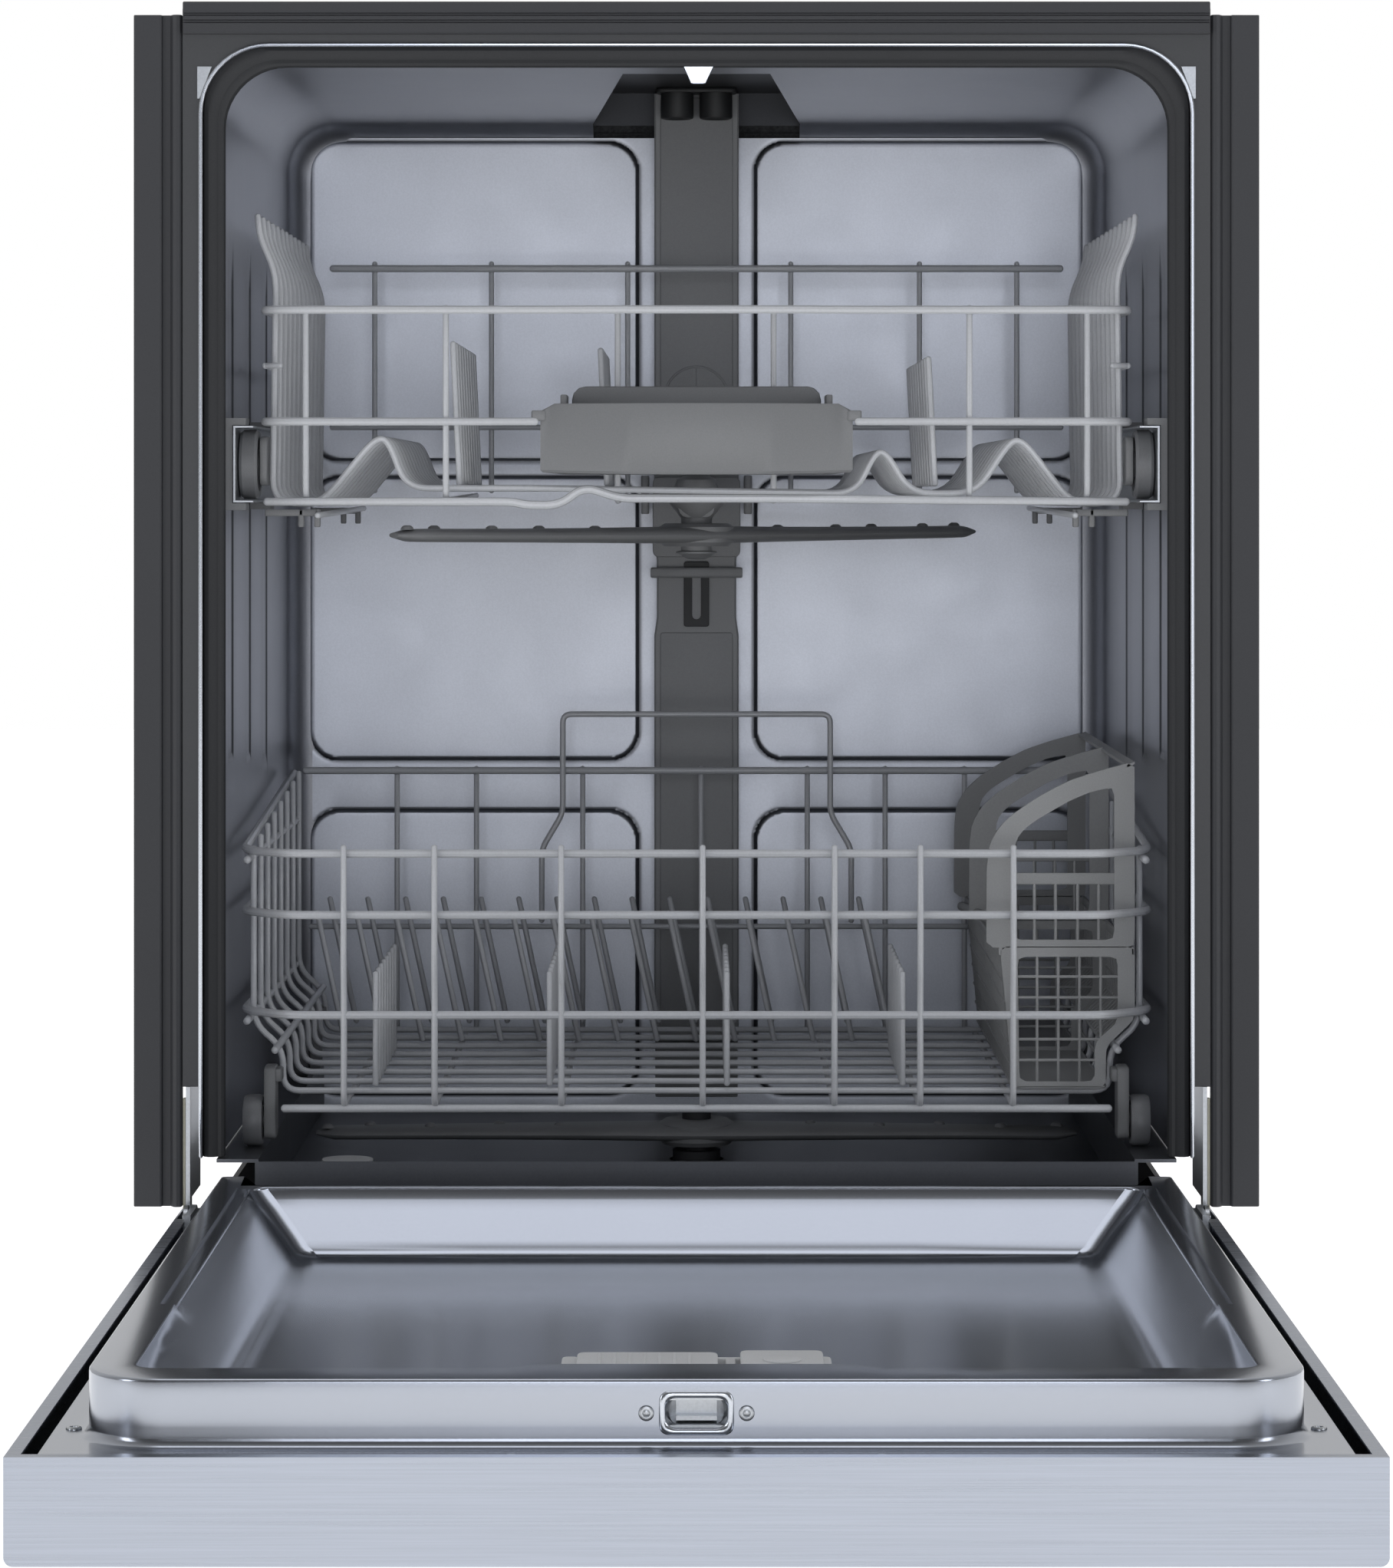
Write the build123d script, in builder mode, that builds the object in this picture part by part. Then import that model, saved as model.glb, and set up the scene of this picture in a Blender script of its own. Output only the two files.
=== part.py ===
from build123d import *
import os

# Built-in dishwasher with its door lowered and both racks home.
# Row frame: +X to the right of a person facing the machine, +Y into the tub, +Z up.
# The origin lies on the floor, half way along the box of the machine with its door lowered.

# --- overall -----------------------------------------------------------------------------
overall_height = 860.0
body_width = 594.0
body_depth = 550.0              # from the tub's front plane to the back of the base
door_overlap = 2.0              # the door is this much wider than the body on each side
door_reach = 700.0              # from the tub's front plane to the lowered door's far edge
seal_flap = 28.6                # a soft side seal stands this far out of the body
clearance = 0.3                 # between pieces that move past each other
half_body = body_width / 2
front_y = (door_reach - body_depth) / 2
back_y = front_y + body_depth
far_out = 2 * body_width        # well outside the machine, for cutting tools

# --- tub ---------------------------------------------------------------------------------
casing_gap = 21.0               # from the tub's inner wall to the outside of the body
header_gap = 34.0               # from the tub's ceiling to the top of the machine
tub_sheet = 1.2
tub_inner_depth = 492.0
tub_corner = 34.0
channel_depth = 22.0            # step in the tub's mouth that holds the door gasket
channel_width = 11.0
channel_rise = 9.5
rim_corner = 40.0
sill_top = 190.0
floor_top = 158.0
floor_sheet = 2.0
ledge_top = 191.5               # the lower rack's wheels roll on it
ledge_width = 23.0
gasket_width = 14.0
tub_half = half_body - casing_gap
tub_top = overall_height - header_gap
rim_half = tub_half + channel_width
rim_top = tub_top + channel_rise
tub_back = front_y + tub_inner_depth
rim_bottom = sill_top + 5.0

# --- door --------------------------------------------------------------------------------
hinge_z = 157.0
hinge_setback = -6.0            # hinge line in front of the tub's front plane
door_edge = 47.3                # thickness of the door at its edge
door_outer_z = 112.9
door_sheet = 1.0
door_heel = 35.0                # how far the door's lower end passes behind the front plane
flange_return = 6.6
liner_gap = 6.0                 # from the liner's raised part to the tub's wall, door shut
liner_top_z = 187.8
liner_sheet = 1.0
liner_front = 667.0             # from the tub's front plane
liner_heel = 48.0
liner_flange_z = 157.4
liner_rim = 14.0                # width of the flat rim beside the dish
recess_front = 640.0
recess_heel = 87.0
recess_slope = 30.0
recess_floor_z = 152.0
recess_corner = 12.0
hinge_pin_radius = 3.95
hinge_bore_radius = 4.0
fascia_height = 96.0
half_door = half_body + door_overlap
liner_half = tub_half - liner_gap
liner_flange_half = half_door - 12.0
recess_half = liner_half - liner_rim

# --- racks -------------------------------------------------------------------------------
rail_wire = 5.0
rack_wire = 3.8
upper_gap = 26.0                # from the upper rack's side wires to the tub's wall
upper_front = 40.0
upper_back_gap = 60.0           # from the upper rack's back wires to the tub's back wall
upper_floor = 571.0
upper_front_top = 683.5
upper_back_top = 726.0
lower_gap = 9.0                 # from the lower rack's side rails to the tub's wall
lower_taper = 22.0              # the lower rack's foot is this much narrower on each side
lower_front = 33.0
lower_back_gap = 62.0
lower_floor = 222.0
lower_front_top = 365.4
lower_back_top = 391.0
upper_wheel_radius = 20.5
upper_wheel_width = 11.0
upper_wheel_z = 593.0
lower_wheel_radius = 15.0
lower_wheel_width = 11.5
axle_radius = 4.0
upper_half = tub_half - upper_gap
upper_back = tub_inner_depth - upper_back_gap
lower_back = tub_inner_depth - lower_back_gap
lower_half = tub_half - lower_gap
lower_foot_half = lower_half - lower_taper

# --- wash system -------------------------------------------------------------------------
lower_arm_axis = 244.0          # from the tub's front plane
upper_arm_axis = 226.0
lower_arm_radius = 239.0
lower_arm_z = 175.5
upper_arm_radius = 232.0
upper_arm_turn = 39.0           # degrees that the upper arm has stopped at
upper_arm_z = 550.0
sump_axis = 146.0
sump_radius = 62.0
conduit_half = 28.5
conduit_depth = 25.0
foot_stem_radius = 5.0
foot_pad_radius = 19.0

pieces = {}


def block(low, high, mode=Mode.ADD):
    """A box between two opposite corners, added to the piece being built."""
    size = [top - bottom for bottom, top in zip(low, high)]
    middle = [(top + bottom) / 2 for bottom, top in zip(low, high)]
    with Locations(tuple(middle)):
        Box(*size, mode=mode)


def solid_box(low, high):
    """One plain box as a piece of its own."""
    with BuildPart() as piece:
        block(low, high)
    return piece.part


def round_bar(start, end, radius, bore=0.0):
    """A straight round bar or tube between two points."""
    run = Vector(*end) - Vector(*start)
    with BuildPart() as piece:
        with BuildSketch(Plane(origin=start, z_dir=run)):
            Circle(radius)
            if bore > 0:
                Circle(bore, mode=Mode.SUBTRACT)
        extrude(amount=run.length)
    return piece.part


def wire(points, diameter):
    """A bent wire as straight runs that meet at its corners."""
    return [round_bar(a, b, diameter / 2) for a, b in zip(points, points[1:])]


def group(parts):
    """Like pieces, or the runs of a welded rack, kept as separate solids of one sub-part."""
    return Compound([solid for part in parts for solid in part.solids()])


def mirrored(part):
    """The same piece on the other side of the machine."""
    return mirror(part, about=Plane.YZ, mode=Mode.PRIVATE)


def upright_plane(y):
    """A vertical plane across the machine; extrude(amount=-d) runs back into the tub."""
    return Plane.XZ.offset(-y)


def rounded_prism(half, bottom, top, corner, y, depth):
    """A rounded rectangle across the machine, carried back from y by depth."""
    with BuildPart() as piece:
        with BuildSketch(upright_plane(y)):
            with Locations((0, (bottom + top) / 2)):
                RectangleRounded(2 * half, top - bottom, corner)
        extrude(amount=-depth)
    return piece.part


def tray_prism(half_x, y0, y1, z0, z1, corner, flare=0.0):
    """A rounded rectangle on plan from z0 up to z1, wider by flare at its top."""
    with BuildPart() as piece:
        with BuildSketch(Plane.XY.offset(z0)):
            with Locations((0, (y0 + y1) / 2)):
                RectangleRounded(2 * half_x, y1 - y0, corner)
        with BuildSketch(Plane.XY.offset(z1)):
            with Locations((0, (y0 + y1) / 2)):
                RectangleRounded(2 * (half_x + flare), y1 - y0 + 2 * flare, corner)
        loft()
    return piece.part


# =========================================================================================
# Tub, mouth and casing
# =========================================================================================
pocket_rise = 22.0
pocket_top = tub_top + pocket_rise
pocket_rear_half = 71.0
pocket_front_half = 44.0
pocket_front = 90.0


def ceiling_pocket(grow, top):
    """The raised pocket in the ceiling that takes the top of the water conduit."""
    with BuildPart() as piece:
        with BuildSketch(Plane.XY.offset(tub_top - 5)):
            with BuildLine():
                Polyline(
                    (-pocket_front_half - grow, front_y + pocket_front - grow),
                    (pocket_front_half + grow, front_y + pocket_front - grow),
                    (pocket_rear_half + grow, tub_back + grow),
                    (-pocket_rear_half - grow, tub_back + grow),
                    close=True,
                )
            make_face()
        extrude(amount=top - tub_top + 5)
    return piece.part


with BuildPart() as tub_shell:
    add(rounded_prism(tub_half + tub_sheet, floor_top - 40, tub_top + tub_sheet, tub_corner,
                      front_y + channel_depth, tub_inner_depth - channel_depth + tub_sheet))
    add(ceiling_pocket(tub_sheet, pocket_top + tub_sheet))
    add(rounded_prism(tub_half, floor_top - 41, tub_top, tub_corner,
                      front_y + channel_depth, tub_inner_depth - channel_depth), mode=Mode.SUBTRACT)
    add(ceiling_pocket(0, pocket_top), mode=Mode.SUBTRACT)
    add(rounded_prism(rim_half, floor_top - 40, rim_top, rim_corner,
                      front_y, channel_depth + tub_sheet))
    add(rounded_prism(rim_half - tub_sheet, floor_top - 41, rim_top - tub_sheet,
                      rim_corner - tub_sheet, front_y, channel_depth), mode=Mode.SUBTRACT)
    add(rounded_prism(tub_half, floor_top - 41, tub_top, tub_corner,
                      front_y, channel_depth + tub_sheet), mode=Mode.SUBTRACT)
    block((-far_out, front_y - 1, 0), (far_out, back_y, ledge_top), mode=Mode.SUBTRACT)
pieces["tub_shell"] = tub_shell.part

floor_bottom = floor_top - floor_sheet
sump_y = front_y + sump_axis
hub_y = front_y + lower_arm_axis
hub_radius = 9.0
hub_base_radius = 15.0
ledge_inner = tub_half - ledge_width
with BuildPart() as tub_floor:
    block((-ledge_inner, front_y, floor_bottom), (ledge_inner, tub_back + tub_sheet, floor_top))
    block((-ledge_inner, front_y, floor_bottom), (ledge_inner, front_y + floor_sheet, sill_top))
    block((-ledge_inner, tub_back, floor_bottom), (ledge_inner, tub_back + tub_sheet, ledge_top))
    for side in (-1, 1):
        inner = side * ledge_inner
        outer = side * (tub_half + tub_sheet)
        block((min(inner, outer), front_y, ledge_top - floor_sheet),
              (max(inner, outer), tub_back + tub_sheet, ledge_top))
        block((min(inner, inner + side * floor_sheet), front_y, floor_bottom),
              (max(inner, inner + side * floor_sheet), tub_back + tub_sheet, ledge_top))
    with Locations((0, sump_y, floor_top)):
        Cylinder(sump_radius, 20, mode=Mode.SUBTRACT)
    with Locations((0, hub_y, floor_top)):
        Cylinder(hub_base_radius + 2, 20, mode=Mode.SUBTRACT)
pieces["tub_floor"] = tub_floor.part

gasket_outer = rim_half - tub_sheet
notch_left = -20.5
notch_right = 15.0
gasket_depth = channel_depth - 1.0
with BuildPart() as door_gasket:
    add(rounded_prism(gasket_outer, rim_bottom - 60, rim_top - tub_sheet, rim_corner - tub_sheet,
                      front_y + 0.5, gasket_depth))
    add(rounded_prism(gasket_outer - gasket_width, rim_bottom - 61,
                      rim_top - tub_sheet - gasket_width, rim_corner - gasket_width,
                      front_y, channel_depth), mode=Mode.SUBTRACT)
    block((-far_out, front_y - 1, 0), (far_out, back_y, rim_bottom), mode=Mode.SUBTRACT)
    block((notch_left, front_y - 1, rim_top - 30), (notch_right, front_y + 12, rim_top),
          mode=Mode.SUBTRACT)
pieces["door_gasket"] = door_gasket.part

# Dark frame plate round the mouth: two uprights and a header, which hold the tub's front.
frame_depth = 30.0
frame_foot = 233.0
header_top = overall_height - 4.0
with BuildPart() as front_frame:
    block((-half_body, front_y + 2, frame_foot), (half_body, front_y + frame_depth, header_top))
    add(rounded_prism(rim_half, 100, rim_top, rim_corner, front_y, frame_depth + 1),
        mode=Mode.SUBTRACT)
pieces["front_frame"] = front_frame.part

trim_height = 19.0
with BuildPart() as top_trim:
    block((-half_body, front_y - 2.5, overall_height - trim_height),
          (half_body, front_y + 2, overall_height))
    for groove_z in (overall_height - 8.5, overall_height - 12.5):
        block((-half_body, front_y - 2.5, groove_z), (half_body, front_y - 1.6, groove_z + 1),
              mode=Mode.SUBTRACT)
    block((-half_body, front_y + 2, header_top), (half_body, front_y + 26, overall_height))
pieces["top_trim"] = top_trim.part

# Soft strips that close the gap to the cupboards: a flat flap and a rounded rib.
seal_low = 163.0
seal_high = overall_height - 7.0
seal_rib_inner = half_body + 0.2
seal_rib = 7.0
seal_groove = 5.0


def side_seal():
    """One soft side strip: rib against the frame, groove, then the flap."""
    with BuildPart() as piece:
        rib_end = half_body + seal_rib
        groove_end = rib_end + seal_groove
        block((seal_rib_inner, front_y + 1, seal_low), (rib_end, front_y + 8, seal_high))
        block((rib_end, front_y + 4, seal_low), (groove_end, front_y + 6.5, seal_high))
        block((groove_end, front_y + 3, seal_low), (half_body + seal_flap, front_y + 5.5, seal_high))
    return piece.part


right_seal = side_seal()
pieces["side_seals"] = group([right_seal, mirrored(right_seal)])

insulation_gap = 1.0
insulation_thickness = 9.0
blanket_inner = tub_half + tub_sheet + insulation_gap
blanket_outer = blanket_inner + insulation_thickness
with BuildPart() as insulation_blanket:
    block((-blanket_outer, front_y + 60, 230), (blanket_outer, tub_back + 28, tub_top + 16))
    block((-blanket_inner, front_y + 59, 229), (blanket_inner, tub_back + 3, tub_top + 5),
          mode=Mode.SUBTRACT)
    add(ceiling_pocket(6, overall_height), mode=Mode.SUBTRACT)
pieces["insulation_blanket"] = insulation_blanket.part

# Flat steel lugs on the header, screwed up into the worktop.
lug_hole_radius = 2.3
lug_spacing = 480.0
lug_hole_gap = 14.0
lug_z = header_top - 1.6


def counter_lug(x):
    """One fixing lug with two screw holes, tucked behind the header."""
    with BuildPart() as piece:
        block((x - 15, front_y + frame_depth, lug_z), (x + 15, front_y + 74, lug_z + 1.6))
        for step in (-0.5, 0.5):
            with Locations((x, front_y + 56 + step * lug_hole_gap, lug_z)):
                Cylinder(lug_hole_radius, 10, mode=Mode.SUBTRACT)
    return piece.part


pieces["counter_brackets"] = group([counter_lug(-lug_spacing / 2), counter_lug(lug_spacing / 2)])

# =========================================================================================
# Base, feet and services
# =========================================================================================
base_front = 62.0
base_low = 22.0
base_sheet = 3.0
base_half = half_body - 12.0
foot_front = 90.0
foot_rear = 505.0
foot_x = base_half - 30.0
boss_radius = 13.0
boss_top = 66.0
inlet_x = -200.0
inlet_z = 90.0
inlet_radius = 13.2
drain_x = 60.0
drain_z = 110.0
gland_x = -160.0
gland_z = 44.0
gland_radius = 11.0
with BuildPart() as base_pan:
    block((-base_half, front_y + base_front, base_low), (base_half, back_y, floor_bottom))
    block((-base_half + base_sheet, front_y + base_front + base_sheet, base_low + base_sheet),
          (base_half - base_sheet, back_y - base_sheet, floor_bottom + 1), mode=Mode.SUBTRACT)
    for x, y in ((-foot_x, foot_front), (foot_x, foot_front), (0, foot_rear)):
        with Locations((x, front_y + y, (base_low + boss_top) / 2)):
            Cylinder(boss_radius, boss_top - base_low)
            Cylinder(foot_stem_radius + clearance, boss_top, mode=Mode.SUBTRACT)
    with Locations((inlet_x, back_y, inlet_z), (drain_x, back_y, drain_z)):
        Cylinder(22, 20, rotation=(90, 0, 0), mode=Mode.SUBTRACT)
    with Locations((gland_x, back_y, gland_z)):
        Cylinder(gland_radius + 4, 20, rotation=(90, 0, 0), mode=Mode.SUBTRACT)
pieces["base_pan"] = base_pan.part

toe_top = 92.0
with BuildPart() as toe_panel:
    block((-half_body, front_y + base_front - 4, 12), (half_body, front_y + base_front, toe_top))
    for groove in range(3):
        z = 30 + 16 * groove
        block((-half_body + 20, front_y + base_front - 4, z),
              (half_body - 20, front_y + base_front - 3, z + 3), mode=Mode.SUBTRACT)
pieces["toe_panel"] = toe_panel.part


def levelling_foot(x, y):
    """A round pad on a threaded stem, screwed up into the base."""
    with BuildPart() as piece:
        with Locations((x, front_y + y, 5)):
            Cylinder(foot_pad_radius, 10)
        with Locations((x, front_y + y, 35)):
            Cylinder(foot_stem_radius, 55)
    return piece.part


pieces["front_foot_left"] = levelling_foot(-foot_x, foot_front)
pieces["front_foot_right"] = levelling_foot(foot_x, foot_front)
pieces["rear_foot"] = levelling_foot(0, foot_rear)

# Sump under the floor, its filters, and the pumps it feeds.
sump_low = 62.0
filter_radius = 32.0
filter_wall = 2.5
with BuildPart() as sump:
    with Locations((0, sump_y, (sump_low + floor_bottom) / 2)):
        Cylinder(sump_radius + 6, floor_bottom - sump_low)
    block((-30, sump_y, sump_low + 30), (30, hub_y + 22, floor_bottom))
    with Locations((0, sump_y, (sump_low + floor_bottom) / 2 + 4)):
        Cylinder(sump_radius + 3, floor_bottom - sump_low, mode=Mode.SUBTRACT)
    with Locations((0, hub_y, 148)):
        Cylinder(hub_base_radius, 32)
    with Locations((0, hub_y, 172)):
        Cylinder(hub_radius, 32)
    with Locations((0, hub_y, 160)):
        Cylinder(hub_radius - 3, 80, mode=Mode.SUBTRACT)
pieces["sump"] = sump.part

plate_radius = 78.0
with BuildPart() as filter_plate:
    with Locations((0, sump_y, floor_top + 0.8)):
        Cylinder(plate_radius, 1.6)
        Cylinder(filter_radius + 1.0, 8, mode=Mode.SUBTRACT)
    block((-plate_radius, front_y, floor_top), (plate_radius, front_y + floor_sheet + 0.2, 170),
          mode=Mode.SUBTRACT)
pieces["filter_plate"] = filter_plate.part

with BuildPart() as filter_cylinder:
    with Locations((0, sump_y, 124)):
        Cylinder(filter_radius, 76)
        Cylinder(filter_radius - filter_wall, 90, mode=Mode.SUBTRACT)
    with Locations((0, sump_y, 88)):
        Cylinder(filter_radius, 4)
    block((-filter_radius + 1, sump_y - 3, 156), (filter_radius - 1, sump_y + 3, 163))
pieces["filter_cylinder"] = filter_cylinder.part

pump_x = 150.0
pump_y = front_y + 230.0
pump_z = 96.0
impeller_radius = 26.0
shaft_radius = 3.0
with BuildPart() as circulation_pump:
    with Locations((pump_x, pump_y, pump_z)):
        Cylinder(38, 120, rotation=(0, 90, 0))
    with Locations((pump_x - 34, pump_y, pump_z)):
        Cylinder(33, 46, rotation=(0, 90, 0), mode=Mode.SUBTRACT)
    with Locations((pump_x - 58, pump_y, pump_z)):
        Cylinder(14, 20, rotation=(0, 90, 0), mode=Mode.SUBTRACT)
    with Locations((pump_x + 4, pump_y, pump_z)):
        Cylinder(shaft_radius + clearance, 40, rotation=(0, 90, 0), mode=Mode.SUBTRACT)
pieces["circulation_pump"] = circulation_pump.part

with BuildPart() as pump_impeller:
    with Locations((pump_x - 22, pump_y, pump_z)):
        Cylinder(impeller_radius, 4, rotation=(0, 90, 0))
    with Locations((pump_x - 8, pump_y, pump_z)):
        Cylinder(shaft_radius, 60, rotation=(0, 90, 0))
    for turn in range(5):
        blade_plane = Plane(origin=(pump_x - 24, pump_y, pump_z), x_dir=(0, 1, 0), z_dir=(-1, 0, 0))
        with BuildSketch(blade_plane):
            with PolarLocations(0, 1, start_angle=72 * turn):
                with Locations((16, 0)):
                    Rectangle(18, 2.5)
        extrude(amount=12)
pieces["pump_impeller"] = pump_impeller.part

spigot_radius = 10.0
spigot_length = 30.0
with BuildPart() as drain_pump:
    with Locations((-112, sump_y + 30, 92)):
        Cylinder(30, 56)
    with Locations((-112, sump_y + 30, 130)):
        Cylinder(22, 22)

with BuildPart() as drain_spigot:
    with Locations((drain_x, back_y - spigot_length + 4, drain_z)):
        Cylinder(18, 8, rotation=(90, 0, 0))
    with Locations((drain_x, back_y - spigot_length / 2, drain_z)):
        Cylinder(spigot_radius, spigot_length, rotation=(90, 0, 0))
        Cylinder(7.5, 80, rotation=(90, 0, 0), mode=Mode.SUBTRACT)
pieces["drain_pump"] = group([drain_pump.part, drain_spigot.part])

with BuildPart() as inlet_valve:
    block((inlet_x - 22, back_y - 70, inlet_z - 24), (inlet_x + 22, back_y - 22, inlet_z + 24))
    with Locations((inlet_x, back_y - 14, inlet_z)):
        Cylinder(inlet_radius, 28, rotation=(90, 0, 0))
        Cylinder(9, 60, rotation=(90, 0, 0), mode=Mode.SUBTRACT)
pieces["inlet_valve"] = inlet_valve.part

box_sheet = 2.0
with BuildPart() as junction_box:
    block((gland_x - 40, front_y + 90, gland_z - 18), (gland_x + 40, front_y + 160, gland_z + 18))
    block((gland_x - 40 + box_sheet, front_y + 90 + box_sheet, gland_z - 18 + box_sheet),
          (gland_x + 40 - box_sheet, front_y + 160 - box_sheet, gland_z + 18 - box_sheet),
          mode=Mode.SUBTRACT)
    with Locations((gland_x, front_y + 160, gland_z)):
        Cylinder(gland_radius, 10, rotation=(90, 0, 0), mode=Mode.SUBTRACT)
pieces["junction_box"] = junction_box.part

float_x = -ledge_inner + 48.0
float_y = 48.0
pieces["overfill_float"] = round_bar((float_x, front_y + float_y, floor_top + clearance),
                                     (float_x, front_y + float_y, floor_top + 27), 15)

# =========================================================================================
# Water conduit, shower head and lower spray arm
# =========================================================================================
conduit_face = tub_inner_depth - conduit_depth
conduit_foot_z = 206.0
with BuildPart() as water_conduit:
    block((-conduit_half, front_y + conduit_face, conduit_foot_z),
          (conduit_half, tub_back, pocket_top))
    block((-conduit_half, tub_back - 5, floor_top + 6), (conduit_half, tub_back, conduit_foot_z))
    block((-conduit_half, hub_y + 17, floor_top), (conduit_half, tub_back, floor_top + 6))
    block((-8.5, front_y + conduit_face, 486), (8.5, front_y + conduit_face + 8, 530),
          mode=Mode.SUBTRACT)
    block((-29.5, front_y + conduit_face - 4, 532), (29.5, front_y + conduit_face, 588))
    with Locations((0, front_y + conduit_face - 4, upper_arm_z + 27)):
        Cylinder(9, 16, rotation=(90, 0, 0), mode=Mode.SUBTRACT)
pieces["water_conduit"] = water_conduit.part

with BuildPart() as top_shower:
    nozzle_y = front_y + conduit_face - 12
    with Locations((-13, nozzle_y, pocket_top - 10), (13, nozzle_y, pocket_top - 10)):
        Cylinder(11, 20)
        Cylinder(8, 16, mode=Mode.SUBTRACT)
    block((-27, nozzle_y - 12, pocket_top - 3), (27, nozzle_y + 12, pocket_top))
pieces["top_shower"] = top_shower.part


def spray_arm(y, z, radius, turn, hub_height, bore):
    """A two-bladed arm turned about its hub: flat blades that taper to their tips."""
    blade_root = 26.0
    blade_tip = 15.0
    tip_length = 14.0
    with BuildPart() as piece:
        for blade in (0, 180):
            blade_plane = Plane((0, y, z - 6)).rotated((0, 0, blade + turn))
            with BuildSketch(blade_plane):
                with BuildLine():
                    Polyline((0, -blade_root), (radius - tip_length, -blade_tip), (radius, 0),
                             (radius - tip_length, blade_tip), (0, blade_root), close=True)
                make_face()
            extrude(amount=11)
        with Locations((0, y, z)):
            Cylinder(24, hub_height)
            Cylinder(bore, 2 * hub_height, mode=Mode.SUBTRACT)
    return piece.part


pieces["lower_spray_arm"] = spray_arm(hub_y, lower_arm_z, lower_arm_radius, 0, 16,
                                      hub_radius + clearance)

# The striker hangs from the rim into a notch in the gasket and enters the door's latch.
striker_y = front_y + 8
striker_tip = rim_top - 22.5
with BuildPart() as door_striker:
    with BuildSketch(upright_plane(striker_y)):
        with BuildLine():
            Polyline((-11.5, rim_top - tub_sheet), (14, rim_top - tub_sheet), (5, striker_tip),
                     (-3, striker_tip), close=True)
        make_face()
    extrude(amount=-2)
    block((notch_left + 1, striker_y - 1, rim_top - 11.5), (notch_left + 7.5, striker_y + 1,
                                                            rim_top - tub_sheet))
pieces["door_striker"] = door_striker.part

# =========================================================================================
# Door
# =========================================================================================
door_far = front_y - door_reach
heel_y = front_y + door_heel
door_inner_z = door_outer_z + door_edge
hinge_y = front_y + hinge_setback
return_end = front_y - 22
with BuildPart() as door_panel:
    block((-half_door, door_far, door_outer_z), (half_door, heel_y, door_inner_z))
    edges = door_panel.edges().filter_by(Axis.Y).sort_by(Axis.Z)[:2]
    fillet(edges, 4)
    block((-half_door + door_sheet, door_far + door_sheet, door_outer_z + door_sheet),
          (half_door - door_sheet, heel_y - door_sheet, door_inner_z - door_sheet),
          mode=Mode.SUBTRACT)
    block((-half_door + flange_return, door_far + flange_return, door_inner_z - 2),
          (half_door - flange_return, heel_y + 1, door_inner_z + 1), mode=Mode.SUBTRACT)
    block((-half_door + door_sheet, return_end, door_inner_z - 2),
          (half_door - door_sheet, heel_y - door_sheet, door_inner_z + 1), mode=Mode.SUBTRACT)
    block((-half_door + 12, heel_y - 5, 146), (half_door - 12, heel_y + 1, door_inner_z + 1),
          mode=Mode.SUBTRACT)
    block((-half_door - 1, door_far + 10, door_outer_z - 1),
          (half_door + 1, door_far + 10 + fascia_height, door_outer_z + door_sheet),
          mode=Mode.SUBTRACT)
pieces["door_panel"] = door_panel.part

liner_y0 = front_y - liner_front
liner_y1 = front_y - liner_heel
recess_y0 = front_y - recess_front
recess_y1 = front_y - recess_heel
hat_corner = 36.0
recess_foot_half = recess_half - recess_slope
flange_y0 = door_far + flange_return + 0.4
flange_y1 = front_y - 14


def liner_recess(grow, floor_z, top_z):
    """The dish in the liner, with sloping walls; grow thickens it by the sheet."""
    return tray_prism(recess_foot_half + grow, recess_y0 + recess_slope - grow,
                      recess_y1 - recess_slope + grow, floor_z, top_z, recess_corner + grow,
                      recess_slope)


latch_half = 15.0
latch_height = 13.0
latch_low = liner_flange_z + 9
latch_high = latch_low + latch_height
latch_ear = 14.0


recess_outer = liner_recess(liner_sheet, recess_floor_z - liner_sheet, liner_top_z - liner_sheet)
with BuildPart() as liner_void:
    add(tray_prism(liner_half - liner_sheet, liner_y0 + liner_sheet, liner_y1 - liner_sheet,
                   liner_flange_z - 10, liner_top_z - liner_sheet, hat_corner - liner_sheet))
    add(recess_outer, mode=Mode.SUBTRACT)
with BuildPart() as door_liner:
    block((-liner_flange_half, flange_y0, liner_flange_z - 1.2),
          (liner_flange_half, flange_y1, liner_flange_z))
    add(tray_prism(liner_half, liner_y0, liner_y1, liner_flange_z - 1.2, liner_top_z, hat_corner))
    add(recess_outer)
    add(liner_void.part, mode=Mode.SUBTRACT)
    add(liner_recess(0, recess_floor_z, liner_top_z + 0.01), mode=Mode.SUBTRACT)
    block((-latch_half, liner_y0 - 1, latch_low), (latch_half, liner_y0 + 2, latch_high),
          mode=Mode.SUBTRACT)
pieces["door_liner"] = door_liner.part

insulation_low = door_outer_z + door_sheet + 6
with BuildPart() as door_insulation:
    block((8 - liner_half, liner_y0 + 120, insulation_low), (liner_half - 8, front_y - 60, 146))
pieces["door_insulation"] = door_insulation.part

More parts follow.
